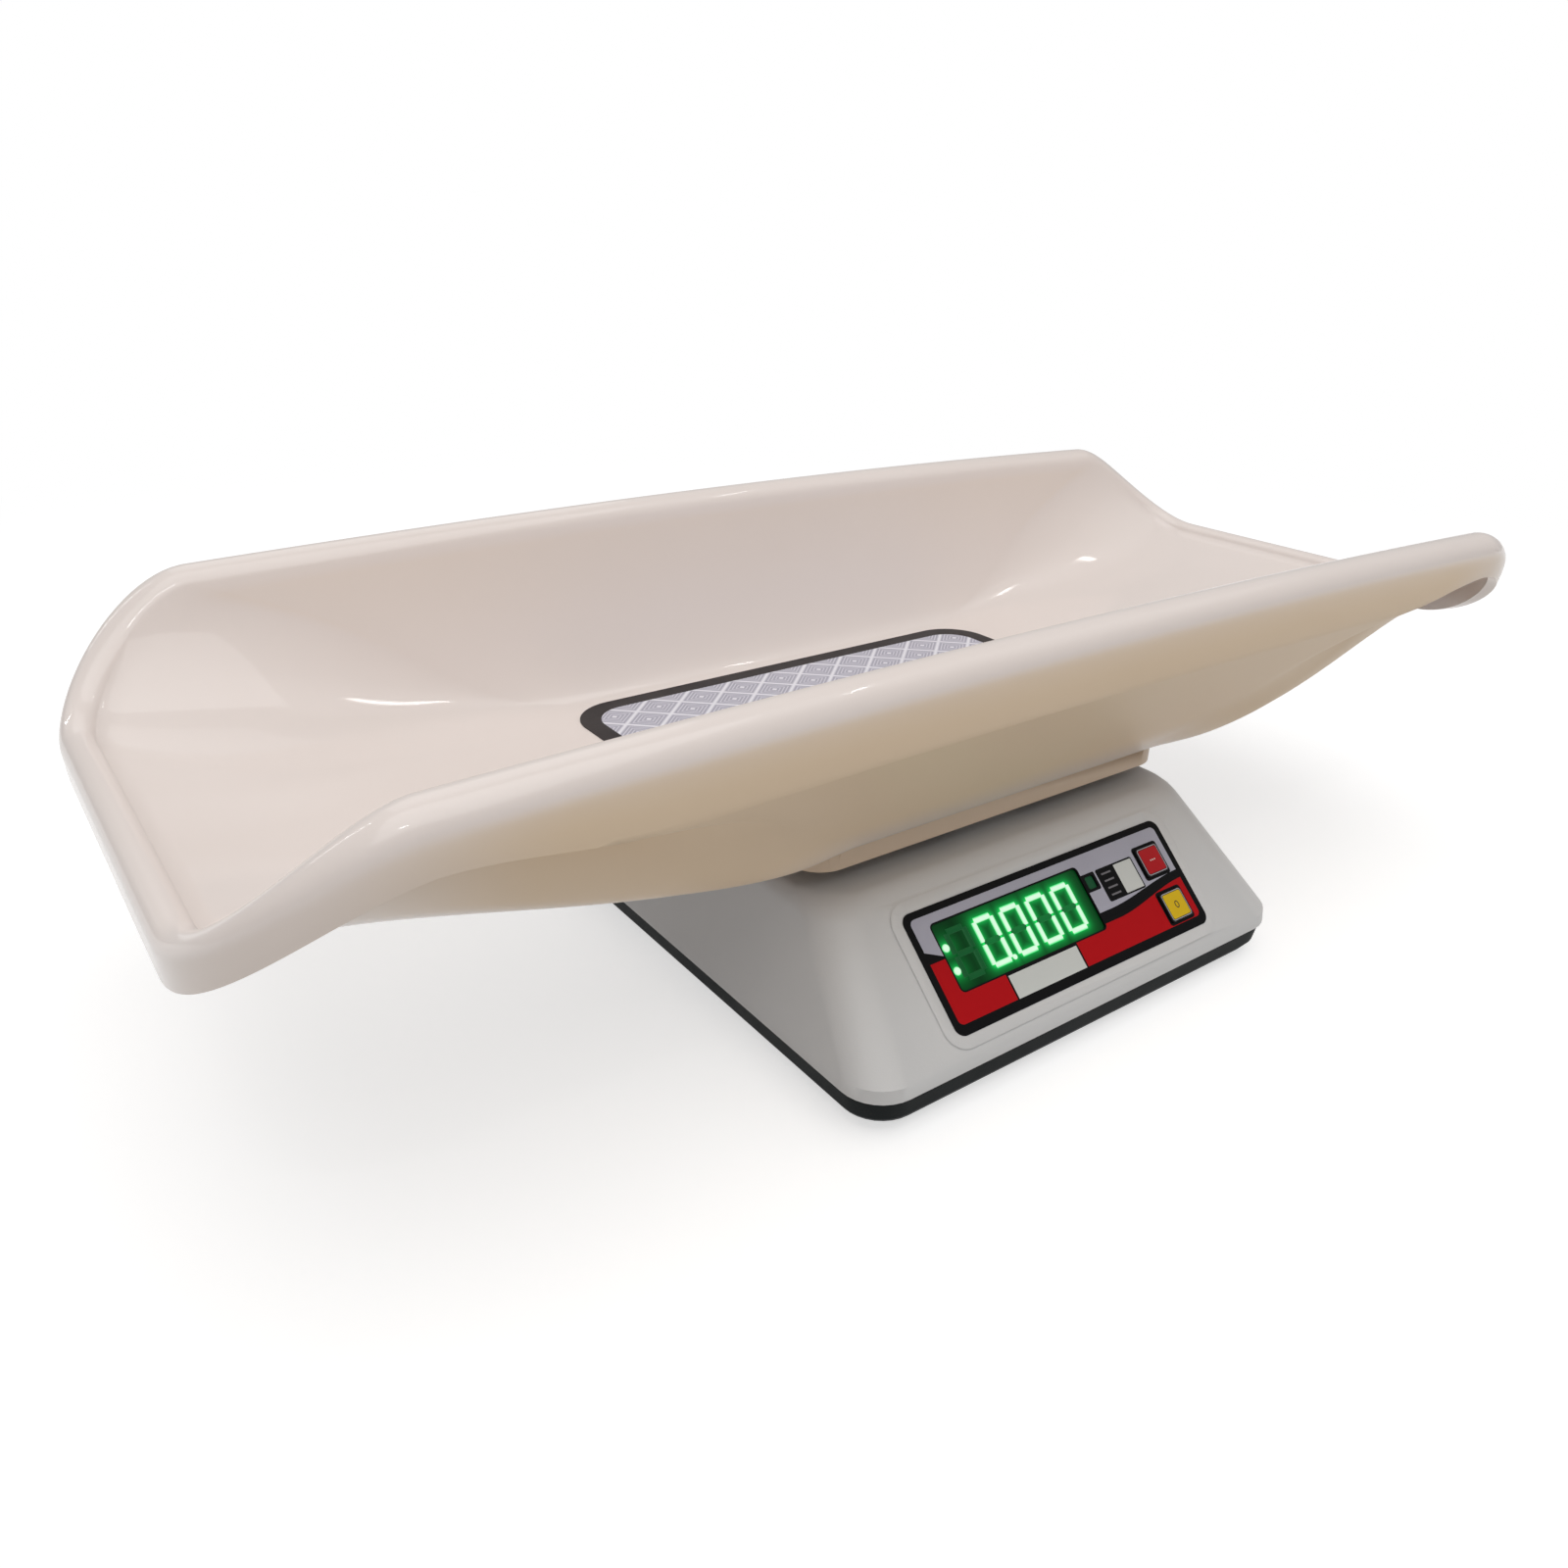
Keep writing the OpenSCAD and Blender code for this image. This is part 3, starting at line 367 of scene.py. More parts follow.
view = {"place": (-0.29636, -0.34386, 0.26493), "turn": 37.322, "down": 29.123, "roll": 1.374,
        "focal": 1211.33, "centre": (836.9, 887.6), "image": 1600, "sensor": 36.0}


def placeCamera():
    turn, down, roll = (math.radians(view[key]) for key in ("turn", "down", "roll"))
    ahead = Vector((math.sin(turn) * math.cos(down), math.cos(turn) * math.cos(down), -math.sin(down)))
    right = Vector((math.cos(turn), -math.sin(turn), 0))
    up = right.cross(ahead)
    across = right * math.cos(roll) + up * math.sin(roll)
    upward = up * math.cos(roll) - right * math.sin(roll)
    data = bpy.data.cameras.new("photoCamera")
    data.sensor_width = view["sensor"]
    data.lens = view["focal"] / view["image"] * view["sensor"]
    data.shift_x = (view["image"] / 2 - view["centre"][0]) / view["image"]
    data.shift_y = (view["centre"][1] - view["image"] / 2) / view["image"]
    data.clip_start = 0.01
    camera = bpy.data.objects.new("photoCamera", data)
    turnMatrix = Matrix((across, upward, -ahead)).transposed()
    camera.matrix_world = Matrix.Translation(view["place"]) @ turnMatrix.to_4x4()
    bpy.context.scene.collection.objects.link(camera)
    bpy.context.scene.camera = camera


placeCamera()
print("camera: placed")


# Tray: one formula for its skin, as in the solid, but finer

traySizes = {
    "Length": 0.56, "Width": 0.242, "Wall": 0.004, "Floor": 0.005, "Floor height": 0.0837,
    "Side rise": 0.0723, "End rise": 0.0315, "Rim sag": 0.0055, "Side bow": 0.0008,
    "Rim radius": 0.0085, "Lip radius": 0.0055, "Side hem": 0.016, "End hem": 0.0085, "Hem tuck": 0.002,
    "Corner radius": 0.053, "Corner fill": 0.020, "Drop lead": 0.002, "Open lead": 0.060,
    "Floor length": 0.218, "Floor width": 0.154, "Floor radius": 0.022,
    "Side power": 1.9, "End power": 1.65, "Lip share": 0.15, "Lip power": 8.0,
    "Long steps": 36, "Corner steps": 26, "Short steps": 12,
    "Floor rings": 3, "Wall rings": 30, "Crest rings": 16, "Hem rings": 8}
rollStart = math.radians(160)  # where the inner wall meets the roll
fillPower = 3  # how late up the wall its corners are fullest
fillPeak = (fillPower / (fillPower + 1)) ** fillPower / (fillPower + 1)
wallShare = 0.85  # part of the straight outer wall that the inner wall's rings take
crestShare, hemShare = 0.6, 0.3  # parts of the rest that the rings of the roll and the hem take
crowding = 1.5  # power that draws the long side's stations towards the corner
floorBlend = 3.0  # the wall has its own thickness a third of the way up


def planPoint(halfX, halfY, radius, along):
    # along: 0..1 on the long side, 1..2 round the corner, 2..3 on the short side
    side, corner, short = along.clamp(), (along - 1.0).clamp(), (along - 2.0).clamp()
    angle = corner * (math.pi / 2)
    return (side * (halfX - radius) + radius * angle.sin(),
            (1.0 - short) * (halfY - radius) + radius * angle.cos())


def station(size, along):  # what depends on the place along the rim alone
    corner = (along - 1.0).clamp()
    angle = corner * (math.pi / 2)
    halfX, halfY = size["Length"] / 2.0, size["Width"] / 2.0 - size["Side bow"]
    radius = size["Corner radius"]
    arc = radius * (math.pi / 2)
    past = (along.clamp() - 1.0) * (halfX - radius) + corner * arc
    fall = ease((past + size["Drop lead"]) / (size["Drop lead"] + arc))
    openness = ease((past + size["Open lead"]) / size["Open lead"])
    edgeX = planPoint(halfX, halfY, radius, along)[0]
    share = (edgeX / halfX) ** 2.0
    roll = mix(size["Rim radius"], size["Lip radius"], fall)
    rise = mix(size["Side rise"] - size["Rim sag"] * share, size["End rise"], fall)
    hem = mix(size["Side hem"], size["End hem"], openness)
    return {"halfX": halfX, "halfY": halfY, "normal": (angle.sin(), angle.cos()), "open": openness,
            "bow": size["Side bow"] * (1.0 - share), "roll": roll, "hem": hem,
            "centre": size["Floor height"] + rise - roll,
            "tuck": size["Hem tuck"] * (1.0 - fall) * hem / size["Side hem"]}


def outline(size, spot, along, up):  # from the floor's edge to the rim's outer edge
    fill = size["Corner fill"] * (up ** float(fillPower)) * (1.0 - up) / fillPeak
    x, y = planPoint(mix(size["Floor length"] / 2.0, spot["halfX"], up),
                     mix(size["Floor width"] / 2.0, spot["halfY"], up),
                     mix(size["Floor radius"], size["Corner radius"], up) + fill, along)
    return x, y + spot["bow"] * up


def skinGroup(sizes):  # node group: a point of the upper skin at (along, across)
    tree = bpy.data.node_groups.new("traySkin", "GeometryNodeTree")
    for key in ("Along", "Across", *sizes):
        tree.interface.new_socket(key, in_out="INPUT", socket_type="NodeSocketFloat")
    tree.interface.new_socket("Point", in_out="OUTPUT", socket_type="NodeSocketVector")
    entry = tree.nodes.new("NodeGroupInput")
    size = {key: Flow(tree, entry.outputs[key]) for key in sizes}
    along, across = Flow(tree, entry.outputs["Along"]), Flow(tree, entry.outputs["Across"])
    spot = station(size, along)
    # across: -1..0 over the flat floor, 0..1 up the wall, 1..2 over the roll, 2..3 down the hem
    flat, up = (across + 1.0).clamp(), across.clamp()
    angle = (1.0 - (across - 1.0).clamp()) * rollStart
    down = (across - 2.0).clamp()
    x, y = outline(size, spot, along, up)
    inward = spot["roll"] * (1.0 - angle.cos()) * up + spot["tuck"] * down * down
    power = mix(size["Side power"], size["End power"], spot["normal"][0])
    upturn = size["Lip share"] * spot["normal"][0] * spot["normal"][0]
    rise = mix(up ** power, up ** size["Lip power"], upturn)
    height = (spot["centre"] + spot["roll"] * angle.sin() - size["Floor height"]) * rise
    point = vector(tree, x * flat - spot["normal"][0] * inward, y * flat - spot["normal"][1] * inward,
                   size["Floor height"] + height - spot["hem"] * down)
    tree.links.new(point, tree.nodes.new("NodeGroupOutput").inputs[0])
    return tree


def trayTree(sizes, material):
    tree, size = newGeometry("trayShell", sizes)
    skin = skinGroup(sizes)

    def skinPoint(along, across):
        node = tree.nodes.new("GeometryNodeGroup")
        node.node_tree = skin
        for key, value in {"Along": along, "Across": across, **size}.items():
            plug(tree, value, node.inputs[key])
        return node.outputs[0]

    def vectorMath(operation, a, b):
        node = tree.nodes.new("ShaderNodeVectorMath")
        node.operation = operation
        plug(tree, a, node.inputs[0])
        plug(tree, b, node.inputs["Scale"] if operation == "SCALE" else node.inputs[1])
        return node.outputs[0]

    rings = size["Floor rings"] + size["Wall rings"] + size["Crest rings"] + size["Hem rings"] + 1.0
    steps = size["Long steps"] + size["Corner steps"] + size["Short steps"] + 1.0
    grid = addNode(tree, "GeometryNodeMeshGrid", Vertices_X=steps, Vertices_Y=rings * 2.0)
    index = Flow(tree, tree.nodes.new("GeometryNodeInputIndex").outputs[0])
    column = (index / (rings * 2.0) + 1e-4).math("FLOOR")
    row = index - column * rings * 2.0
    under = row > rings - 0.5
    ring = mix(row, rings * 2.0 - 1.0 - row, under)
    along = 1.0 - (1.0 - (column / size["Long steps"]).clamp()) ** crowding
    done = size["Long steps"]
    for key in ("Corner steps", "Short steps"):
        along = along + ((column - done) / size[key]).clamp()
        done = done + size[key]
    across = (ring / size["Floor rings"]).clamp() - 1.0
    done = size["Floor rings"]
    for key in ("Wall rings", "Crest rings", "Hem rings"):
        across = across + ((ring - done) / size[key]).clamp()
        done = done + size[key]

    # the underside: the wall's thickness below the skin, or the straight outer wall along the sides
    small = 0.01  # step to either side for the skin's direction
    top = skinPoint(along, across)
    ahead = vectorMath("SUBTRACT", skinPoint(along + small, across), skinPoint(along - small, across))
    out = vectorMath("SUBTRACT", skinPoint(along, across + small), skinPoint(along, across - small))
    normal = vectorMath("ADD", vectorMath("CROSS_PRODUCT", ahead, out), (0.0, 0.0, 1e-12))
    normal = vectorMath("NORMALIZE", normal, (0.0, 0.0, 0.0))
    up = across.clamp()
    thick = mix(size["Floor"], size["Wall"], (up * floorBlend).clamp())
    parallel = vectorMath("SUBTRACT", top, vectorMath("SCALE", normal, thick))
    spot = station(size, along)
    beyond = (across - 1.0).clamp() * crestShare + (across - 2.0).clamp() * hemShare
    share = up * wallShare + beyond * (1.0 - wallShare)
    x, y = outline(size, spot, along, share)
    flat = (across + 1.0).clamp()
    base = size["Floor height"] - size["Floor"]
    slant = vector(tree, x * flat - spot["normal"][0] * spot["tuck"] * share,
                   y * flat - spot["normal"][1] * spot["tuck"] * share,
                   mix(base, spot["centre"] - spot["hem"], share))
    lower = addNode(tree, "ShaderNodeMix", {"data_type": "VECTOR"})
    plug(tree, spot["open"], lower.inputs[0])
    plug(tree, slant, lower.inputs[4])
    plug(tree, parallel, lower.inputs[5])
    place = addNode(tree, "ShaderNodeMix", {"data_type": "VECTOR"})
    plug(tree, under, place.inputs[0])
    plug(tree, top, place.inputs[4])
    plug(tree, lower.outputs[1], place.inputs[5])
    quarter = addNode(tree, "GeometryNodeSetPosition", Geometry=grid.outputs[0],
                      Position=place.outputs[1]).outputs[0]
    mirrored = addNode(tree, "GeometryNodeFlipFaces", Mesh=transform(tree, quarter, scale=(-1, 1, 1)))
    half = join(tree, quarter, mirrored.outputs[0])
    mirrored = addNode(tree, "GeometryNodeFlipFaces", Mesh=transform(tree, half, scale=(1, -1, 1)))
    whole = transform(tree, join(tree, half, mirrored.outputs[0]), move=(0.0, middleY, 0.0))
    merged = addNode(tree, "GeometryNodeMergeByDistance", Geometry=whole, Distance=1e-5)
    closeGeometry(tree, merged.outputs[0], material)
    return tree


# the colour low on the outside of the long walls is a painted warm shade, not the plastic's own tone
trayLook = {"ivory": (srgb(237, 225, 218), srgb(240, 229, 223)), "gain": 1.8, "low": 0.4,
            "below": srgb(240, 216, 186), "turn": (0.34, 0.5), "wallFrom": 0.07, "wallFade": 0.02,
            "endFrom": 0.26, "endTo": 0.19, "endShare": 0.15,
            "rough": 0.26, "smudge": 0.08, "dull": 0.15, "specular": 0.25, "coat": 0.6, "coatRough": 0.05}


def trayFinish(look):
    # glossy ivory with faint handling smudges; low on the outside of the long walls the gloss is duller
    # and a painted warm shade stands in for dim warm light from below
    material, tree, shader = newMaterial("trayGloss")
    coords, (x, y, _) = objectSpace(tree)
    normal = tree.nodes.new("ShaderNodeTexCoord").outputs["Normal"]
    facing = Flow(tree, addNode(tree, "ShaderNodeSeparateXYZ", Vector=normal).outputs[2])
    drift = (noise(tree, coords, 6.0, 3.0) * look["gain"] - look["low"]).clamp()
    ivory = mixColor(tree, drift, *look["ivory"])
    # painted warm shade: on the outside of the long walls where they face down, less towards the ends
    outside = ease((abs(y - middleY) - look["wallFrom"]) / look["wallFade"])
    inward = ease((look["endFrom"] - abs(x)) / (look["endFrom"] - look["endTo"]))
    level = ease((look["turn"][0] - facing) / look["turn"][1])
    below = level * outside * mix(look["endShare"], 1.0, inward)
    tree.links.new(mixColor(tree, below, ivory, look["below"]), shader.inputs["Base Color"])
    smudge = noise(tree, coords, 22.0, 5.0, 0.62)
    plug(tree, smudge * look["smudge"] + look["rough"] + below * look["dull"], shader.inputs["Roughness"])
    plug(tree, (1.0 - below) * look["coat"], shader.inputs["Coat Weight"])
    setInputs(shader, Specular_IOR_Level=look["specular"], Coat_Roughness=look["coatRough"])
    bump(tree, shader, noise(tree, coords, 38.0, 1.0), 0.00006)
    return material


trayMaterial = trayFinish(trayLook)
tray = grow("trayShell", trayTree(traySizes, trayMaterial), traySizes, "tray",
            ("tray",), 80.0)
frame["nodes"]["tray_pegs"].material_slots[0].material = trayMaterial
print("tray: %d faces" % len(tray.data.polygons))


# Label on the tray floor: dark border, lattice of concentric diamonds

labelLook = {"halfX": 0.107, "halfY": 0.075, "corner": 0.022, "border": 0.0078,
             "diamond": (0.0205, 0.0195), "rings": 5.0, "ringShift": 0.3, "ringTone": 0.55,
             "lattice": 0.925, "thin": 0.60, "middle": 0.12, "worn": (0.85, 0.2),
             "ink": (srgb(40, 35, 36), srgb(50, 45, 46)), "field": srgb(176, 173, 186),
             "line": srgb(238, 236, 242), "specular": 0.2}


def labelFinish(look):
    material, tree, shader = newMaterial("labelPrint")
    coords, (x, y, _) = objectSpace(tree)
    y = y - middleY
    edge = roundBox(x, y, (0.0, 0.0), (look["halfX"], look["halfY"]), look["corner"])
    a = abs((x / look["diamond"][0] + y / look["diamond"][1]).fract() - 0.5)
    b = abs((x / look["diamond"][0] - y / look["diamond"][1]).fract() - 0.5)
    reach = a.most(b) * 2.0  # 0 in a diamond's middle, 1 on the lattice
    ring = (reach * look["rings"] + look["ringShift"]).fract() > look["thin"]
    line = (ring * look["ringTone"]).most(reach > look["lattice"]).most(reach < look["middle"])
    worn = noise(tree, coords, 260.0, 3.0) * look["worn"][1] + look["worn"][0]
    field = mixColor(tree, (line * worn).clamp(), look["field"], look["line"])
    ink = mixColor(tree, noise(tree, coords, 120.0, 3.0), *look["ink"])
    tree.links.new(mixColor(tree, edge > -look["border"], field, ink), shader.inputs["Base Color"])
    unevenGloss(tree, shader, coords, 0.38, 0.2, 40.0)
    setInputs(shader, Specular_IOR_Level=look["specular"])
    bump(tree, shader, noise(tree, coords, 700.0, 2.0), 0.00002)
    return material


frame["nodes"]["tray_label"].material_slots[0].material = labelFinish(labelLook)
print("label: printed")


# Housing, base and platter

smoothed("top_housing", "housingShell", finishes["housing"], "base", 28.0)
smoothed("base_plate", "baseTray", finishes["charcoal"], "base", 28.0)
smoothed("platter", "platterPlate", finishes["platter"], "platform", 30.0)
smoothed("battery_door", "batteryDoor", finishes["charcoal"], "base", 30.0, 0.0003)
smoothed("power_switch_frame", "switchFrame", finishes["switch"], "base", 30.0, 0.0002)
smoothed("power_rocker", "rockerKey", finishes["switch"], "power_rocker", 30.0, 0.0003)
smoothed("rubber_feet", "footPads", finishes["rubber"], "base", 30.0, 0.0006)
print("housing: smoothed")


# Grip ridges on the battery door

ridges = {"Count": 9, "Wide": 0.030, "Pitch": 0.0022, "Thick": 0.0009, "High": 0.0005}
taper = {"steep": 12.0, "tip": 0.3}  # full thickness a twelfth in from each end
gripInset = 0.034  # from the door's back edge to the first ridge


def ridgeTree(sizes, material):  # a row of half-round bars, thinner to their ends
    tree, size = newGeometry("gripRidges", sizes)
    line = addNode(tree, "GeometryNodeCurvePrimitiveLine",
                   Start=vector(tree, size["Wide"] * -0.5, 0.0, 0.0),
                   End=vector(tree, size["Wide"] * 0.5, 0.0, 0.0))
    points = addNode(tree, "GeometryNodeResampleCurve", Curve=line.outputs[0], Count=32).outputs[0]
    share = Flow(tree, tree.nodes.new("GeometryNodeSplineParameter").outputs["Factor"])
    full = (share.least(1.0 - share) * taper["steep"]).clamp()
    points = addNode(tree, "GeometryNodeSetCurveRadius", Curve=points,
                     Radius=mix(taper["tip"], 1.0, full)).outputs[0]
    profile = addNode(tree, "GeometryNodeCurvePrimitiveCircle", Resolution=12, Radius=size["Thick"] / 2.0)
    bar = addNode(tree, "GeometryNodeCurveToMesh", Curve=points, Profile_Curve=profile.outputs[0],
                  Fill_Caps=True).outputs[0]
    flat = transform(tree, bar, scale=vector(tree, 1.0, 1.0, size["High"] / size["Thick"]))
    row = addNode(tree, "GeometryNodeMeshLine", Count=size["Count"],
                  Offset=vector(tree, 0.0, size["Pitch"], 0.0))
    copies = addNode(tree, "GeometryNodeInstanceOnPoints", Points=row.outputs[0], Instance=flat)
    closeGeometry(tree, copies.outputs[0], material)
    return tree


doorLow, doorHigh = (Vector(corner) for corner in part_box("battery_door"))
grip = grow("doorRidges", ridgeTree(ridges, finishes["charcoal"]), ridges, "base",
            angle=60.0)
grip.data.transform(Matrix.Translation(((doorLow.x + doorHigh.x) / 2, doorHigh.y - gripInset, doorLow.z)))
print("grip: set")


# Display panel

panel = {"slope": math.radians(42), "slopeY": -0.1247, "sillZ": 0.020, "bezel": 0.0006, "recess": 0.0006,
         "window": (-0.020, 0.0329), "keyX": 0.0533, "functionUp": 0.0371, "zeroUp": 0.0176,
         "specular": 0.12}
slopeTurn = Matrix.Rotation(panel["slope"], 4, "X")
panelMatrix = Matrix.Translation((0, panel["slopeY"], panel["sillZ"])) @ slopeTurn


def panelSpace(tree):  # x across and up the slope, from Object coordinates
    coords, (x, y, z) = objectSpace(tree)
    up = (y - panel["slopeY"]) * math.cos(panel["slope"]) + (z - panel["sillZ"]) * math.sin(panel["slope"])
    return coords, x, up


inks = {"black": srgb(9, 9, 11), "red": srgb(184, 8, 18), "white": srgb(210, 212, 208),
        "grey": srgb(120, 118, 122), "lilac": (srgb(170, 169, 182), srgb(182, 181, 193))}
fields = {"inner": ((0.0, 0.02985), (0.0633, 0.0196), 0.0022),  # centre, half size, corner radius
          "left": -0.0555, "right": 0.0155,  # the lilac and red edges step here
          "lilacEdge": (0.0335, 0.0373, 0.0075),  # height at the middle, at the left and the run between
          "lilacRise": (0.0262, 0.0302, 0.022, 0.042),  # right of the window: from, to, start and run
          "redEdge": (0.0316, 0.0330), "redRise": (0.0218, 0.0268, 0.024, 0.040)}
# printed patches in their order: centre, half size, corner radius and ink
patches = [((-0.01855, 0.0148), (0.0179, 0.0054), 0.0001, "black"),
           ((-0.01855, 0.0146), (0.0171, 0.0044), 0.0001, "white"),
           (panel["window"], (0.0366, 0.0131), 0.0021, "black"),
           ((0.0198, 0.0382), (0.0036, 0.0036), 0.0008, "black"),
           ((0.03425, 0.0351), (0.0101, 0.0067), 0.0009, "black"),
           ((0.0389, 0.0351), (0.0049, 0.0060), 0.0003, "white")]
for row in range(4):  # plain bars where the table's rows stand
    patches.append(((0.0290, 0.0394 - row * 0.0029), (0.0026, 0.00035), 0.0002, "grey"))
for key in ("functionUp", "zeroUp"):  # dark ground round each key
    patches.append(((panel["keyX"], panel[key]), (0.0071, 0.0071), 0.0014, "black"))


def panelFinish():
    material, tree, shader = newMaterial("panelPrint")
    coords, x, up = panelSpace(tree)

    def rising(low, high, start, run):  # height of an edge that climbs along x
        return mix(low, high, ease((x - start) / run))

    inner = roundBox(x, up, *fields["inner"]) < 0.0
    left, right = x < fields["left"], x > fields["right"]
    middle, end, run = fields["lilacEdge"]
    lowest = mix(middle, end, ((fields["left"] - x) / run).clamp())
    lowest = mix(lowest, rising(*fields["lilacRise"]), right)
    highest = mix(*fields["redEdge"], left)
    highest = mix(highest, rising(*fields["redRise"]), right)
    lilac = mixColor(tree, noise(tree, coords, 60.0, 3.0), *inks["lilac"])
    color = mixColor(tree, inner * (up > lowest), inks["black"], lilac)
    color = mixColor(tree, inner * (up < highest), color, inks["red"])
    for centre, half, radius, ink in patches:
        color = mixColor(tree, roundBox(x, up, centre, half, radius) < 0.0, color, inks[ink])
    tree.links.new(color, shader.inputs["Base Color"])
    unevenGloss(tree, shader, coords, 0.33, 0.14, 45.0)
    setInputs(shader, Specular_IOR_Level=panel["specular"])
    bump(tree, shader, noise(tree, coords, 1500.0, 2.0), 0.00002)
    return material


digits = {"Count": 4, "Pitch": 0.0129, "Wide": 0.0083, "High": 0.0173, "Bar": 0.0023, "Gap": 0.0005,
          "Thick": 0.00025, "Point": 0.2, "Tip": 0.25, "Outer": 1.0, "Middle": 0.0}
digitRow = {"first": (-0.0340, 0.0327), "step": 0.0129, "unlitX": -0.0470, "half": (0.0041, 0.0085),
            "rounding": 0.0008}
dots = {"point": (-0.0283, 0.0242, 0.0010), "upper": (-0.0537, 0.0363, 0.0016),
        "lower": (-0.0537, 0.0276, 0.0016)}  # place across and up, and radius
dotCore = 0.3  # part of a dot's radius that is fully lit
glow = {"color": (0.012, 0.85, 0.14, 1.0), "base": (srgb(3, 22, 9), srgb(5, 30, 13)),
        "near": (0.0010, 0.85), "far": (0.0038, 0.22), "rest": 0.008,  # reach and power of the two halos
        "coreEdge": 0.0013, "coreFade": 0.0008, "flicker": 0.1}


def digitGap(x, up):  # distance to the middle line of the nearest lit bar or point
    cell = ((x - digitRow["first"][0]) / digitRow["step"]).math("ROUND")
    cell = cell.most(0.0).least(digits["Count"] - 1.0)
    local = x - digitRow["first"][0] - cell * digitRow["step"]
    gap = abs(roundBox(local, up, (0.0, digitRow["first"][1]), digitRow["half"], digitRow["rounding"]))
    for spotX, spotUp, radius in dots.values():
        gap = gap.least((length(x - spotX, up - spotUp) - radius * dotCore).most(0.0))
    return gap


def glowFinish():  # smoked green window; light spreads in it round the lit digits
    material, tree, shader = newMaterial("windowGlow")
    coords, x, up = panelSpace(tree)
    gap = digitGap(x, up)
    near, far = ((gap / -reach).math("EXPONENT") * power for reach, power in (glow["near"], glow["far"]))
    tree.links.new(mixColor(tree, noise(tree, coords, 90.0), *glow["base"]), shader.inputs["Base Color"])
    setInputs(shader, Emission_Color=glow["color"], Specular_IOR_Level=panel["specular"])
    plug(tree, near + far + glow["rest"], shader.inputs["Emission Strength"])
    unevenGloss(tree, shader, coords, 0.12, 0.05, 60.0, 2.0)
    return material


def barFinish():  # lit bars: pale in the middle, green at their edges
    material, tree, shader = newMaterial("litBars")
    coords, x, up = panelSpace(tree)
    core = ease((glow["coreEdge"] - digitGap(x, up)) / glow["coreFade"])
    flicker = noise(tree, coords, 500.0) * glow["flicker"]
    tree.links.new(mixColor(tree, core, (0.03, 0.85, 0.2, 1.0), (0.74, 1.0, 0.78, 1.0)),
                   shader.inputs["Emission Color"])
    plug(tree, 1.0 - flicker, shader.inputs["Emission Strength"])
    setInputs(shader, Base_Color=srgb(10, 60, 25), Specular_IOR_Level=panel["specular"])
    return material


def litFinish(name, color, strength, base):  # evenly and faintly lit plastic
    material, tree, shader = newMaterial(name)
    coords, _ = objectSpace(tree)
    tree.links.new(mixColor(tree, noise(tree, coords, 300.0), base, darker(base, 0.8)),
                   shader.inputs["Base Color"])
    setInputs(shader, Emission_Color=color, Emission_Strength=strength, Roughness=0.3,
              Specular_IOR_Level=panel["specular"])
    return material


def digitTree(sizes, material):
    # seven bars to a digit, the outer six and the middle one switched apart, and digits in a row
    tree, size = newGeometry("sevenBars", sizes)
    wide, high, bar, gap = size["Wide"] / 2.0, size["High"] / 2.0, size["Bar"], size["Gap"]
    profile = addNode(tree, "GeometryNodeCurvePrimitiveCircle", Resolution=14, Radius=bar / 2.0)

    def segment(start, end):  # a bar that narrows to both ends
        line = addNode(tree, "GeometryNodeCurvePrimitiveLine", Start=vector(tree, *start, 0.0),
                       End=vector(tree, *end, 0.0)).outputs[0]
        points = addNode(tree, "GeometryNodeResampleCurve", Curve=line, Count=24).outputs[0]
        share = Flow(tree, tree.nodes.new("GeometryNodeSplineParameter").outputs["Factor"])
        reach = share.least(1.0 - share) / size["Point"]
        points = addNode(tree, "GeometryNodeSetCurveRadius", Curve=points,
                         Radius=mix(size["Tip"], 1.0, reach.clamp())).outputs[0]
        tube = addNode(tree, "GeometryNodeCurveToMesh", Curve=points,
                       Profile_Curve=profile.outputs[0], Fill_Caps=True)
        return tube.outputs[0]

    outer = [segment((-wide + gap, high * s), (wide - gap, high * s)) for s in (-1.0, 1.0)]
    for sx in (-1.0, 1.0):
        for sy in (-1.0, 1.0):
            outer.append(segment((wide * sx, gap * sy), (wide * sx, (high - gap) * sy)))
    middle = segment((-wide + gap, 0.0), (wide - gap, 0.0))
    outerScale, middleScale = (vector(tree, size[k], size[k], size[k]) for k in ("Outer", "Middle"))
    parts = join(tree, transform(tree, join(tree, *outer), scale=outerScale),
                 transform(tree, middle, scale=middleScale))
    digit = transform(tree, parts, scale=vector(tree, 1.0, 1.0, size["Thick"] / bar * 2.0))
    row = addNode(tree, "GeometryNodeMeshLine", Count=size["Count"],
                  Offset=vector(tree, size["Pitch"], 0.0, 0.0))
    copies = addNode(tree, "GeometryNodeInstanceOnPoints", Points=row.outputs[0], Instance=digit)
    closeGeometry(tree, copies.outputs[0], material)
    return tree


def onPanel(piece, x, up, out):  # moves a finished mesh onto the slope
    piece.data.transform(panelMatrix @ Matrix.Translation((x, up, out)))


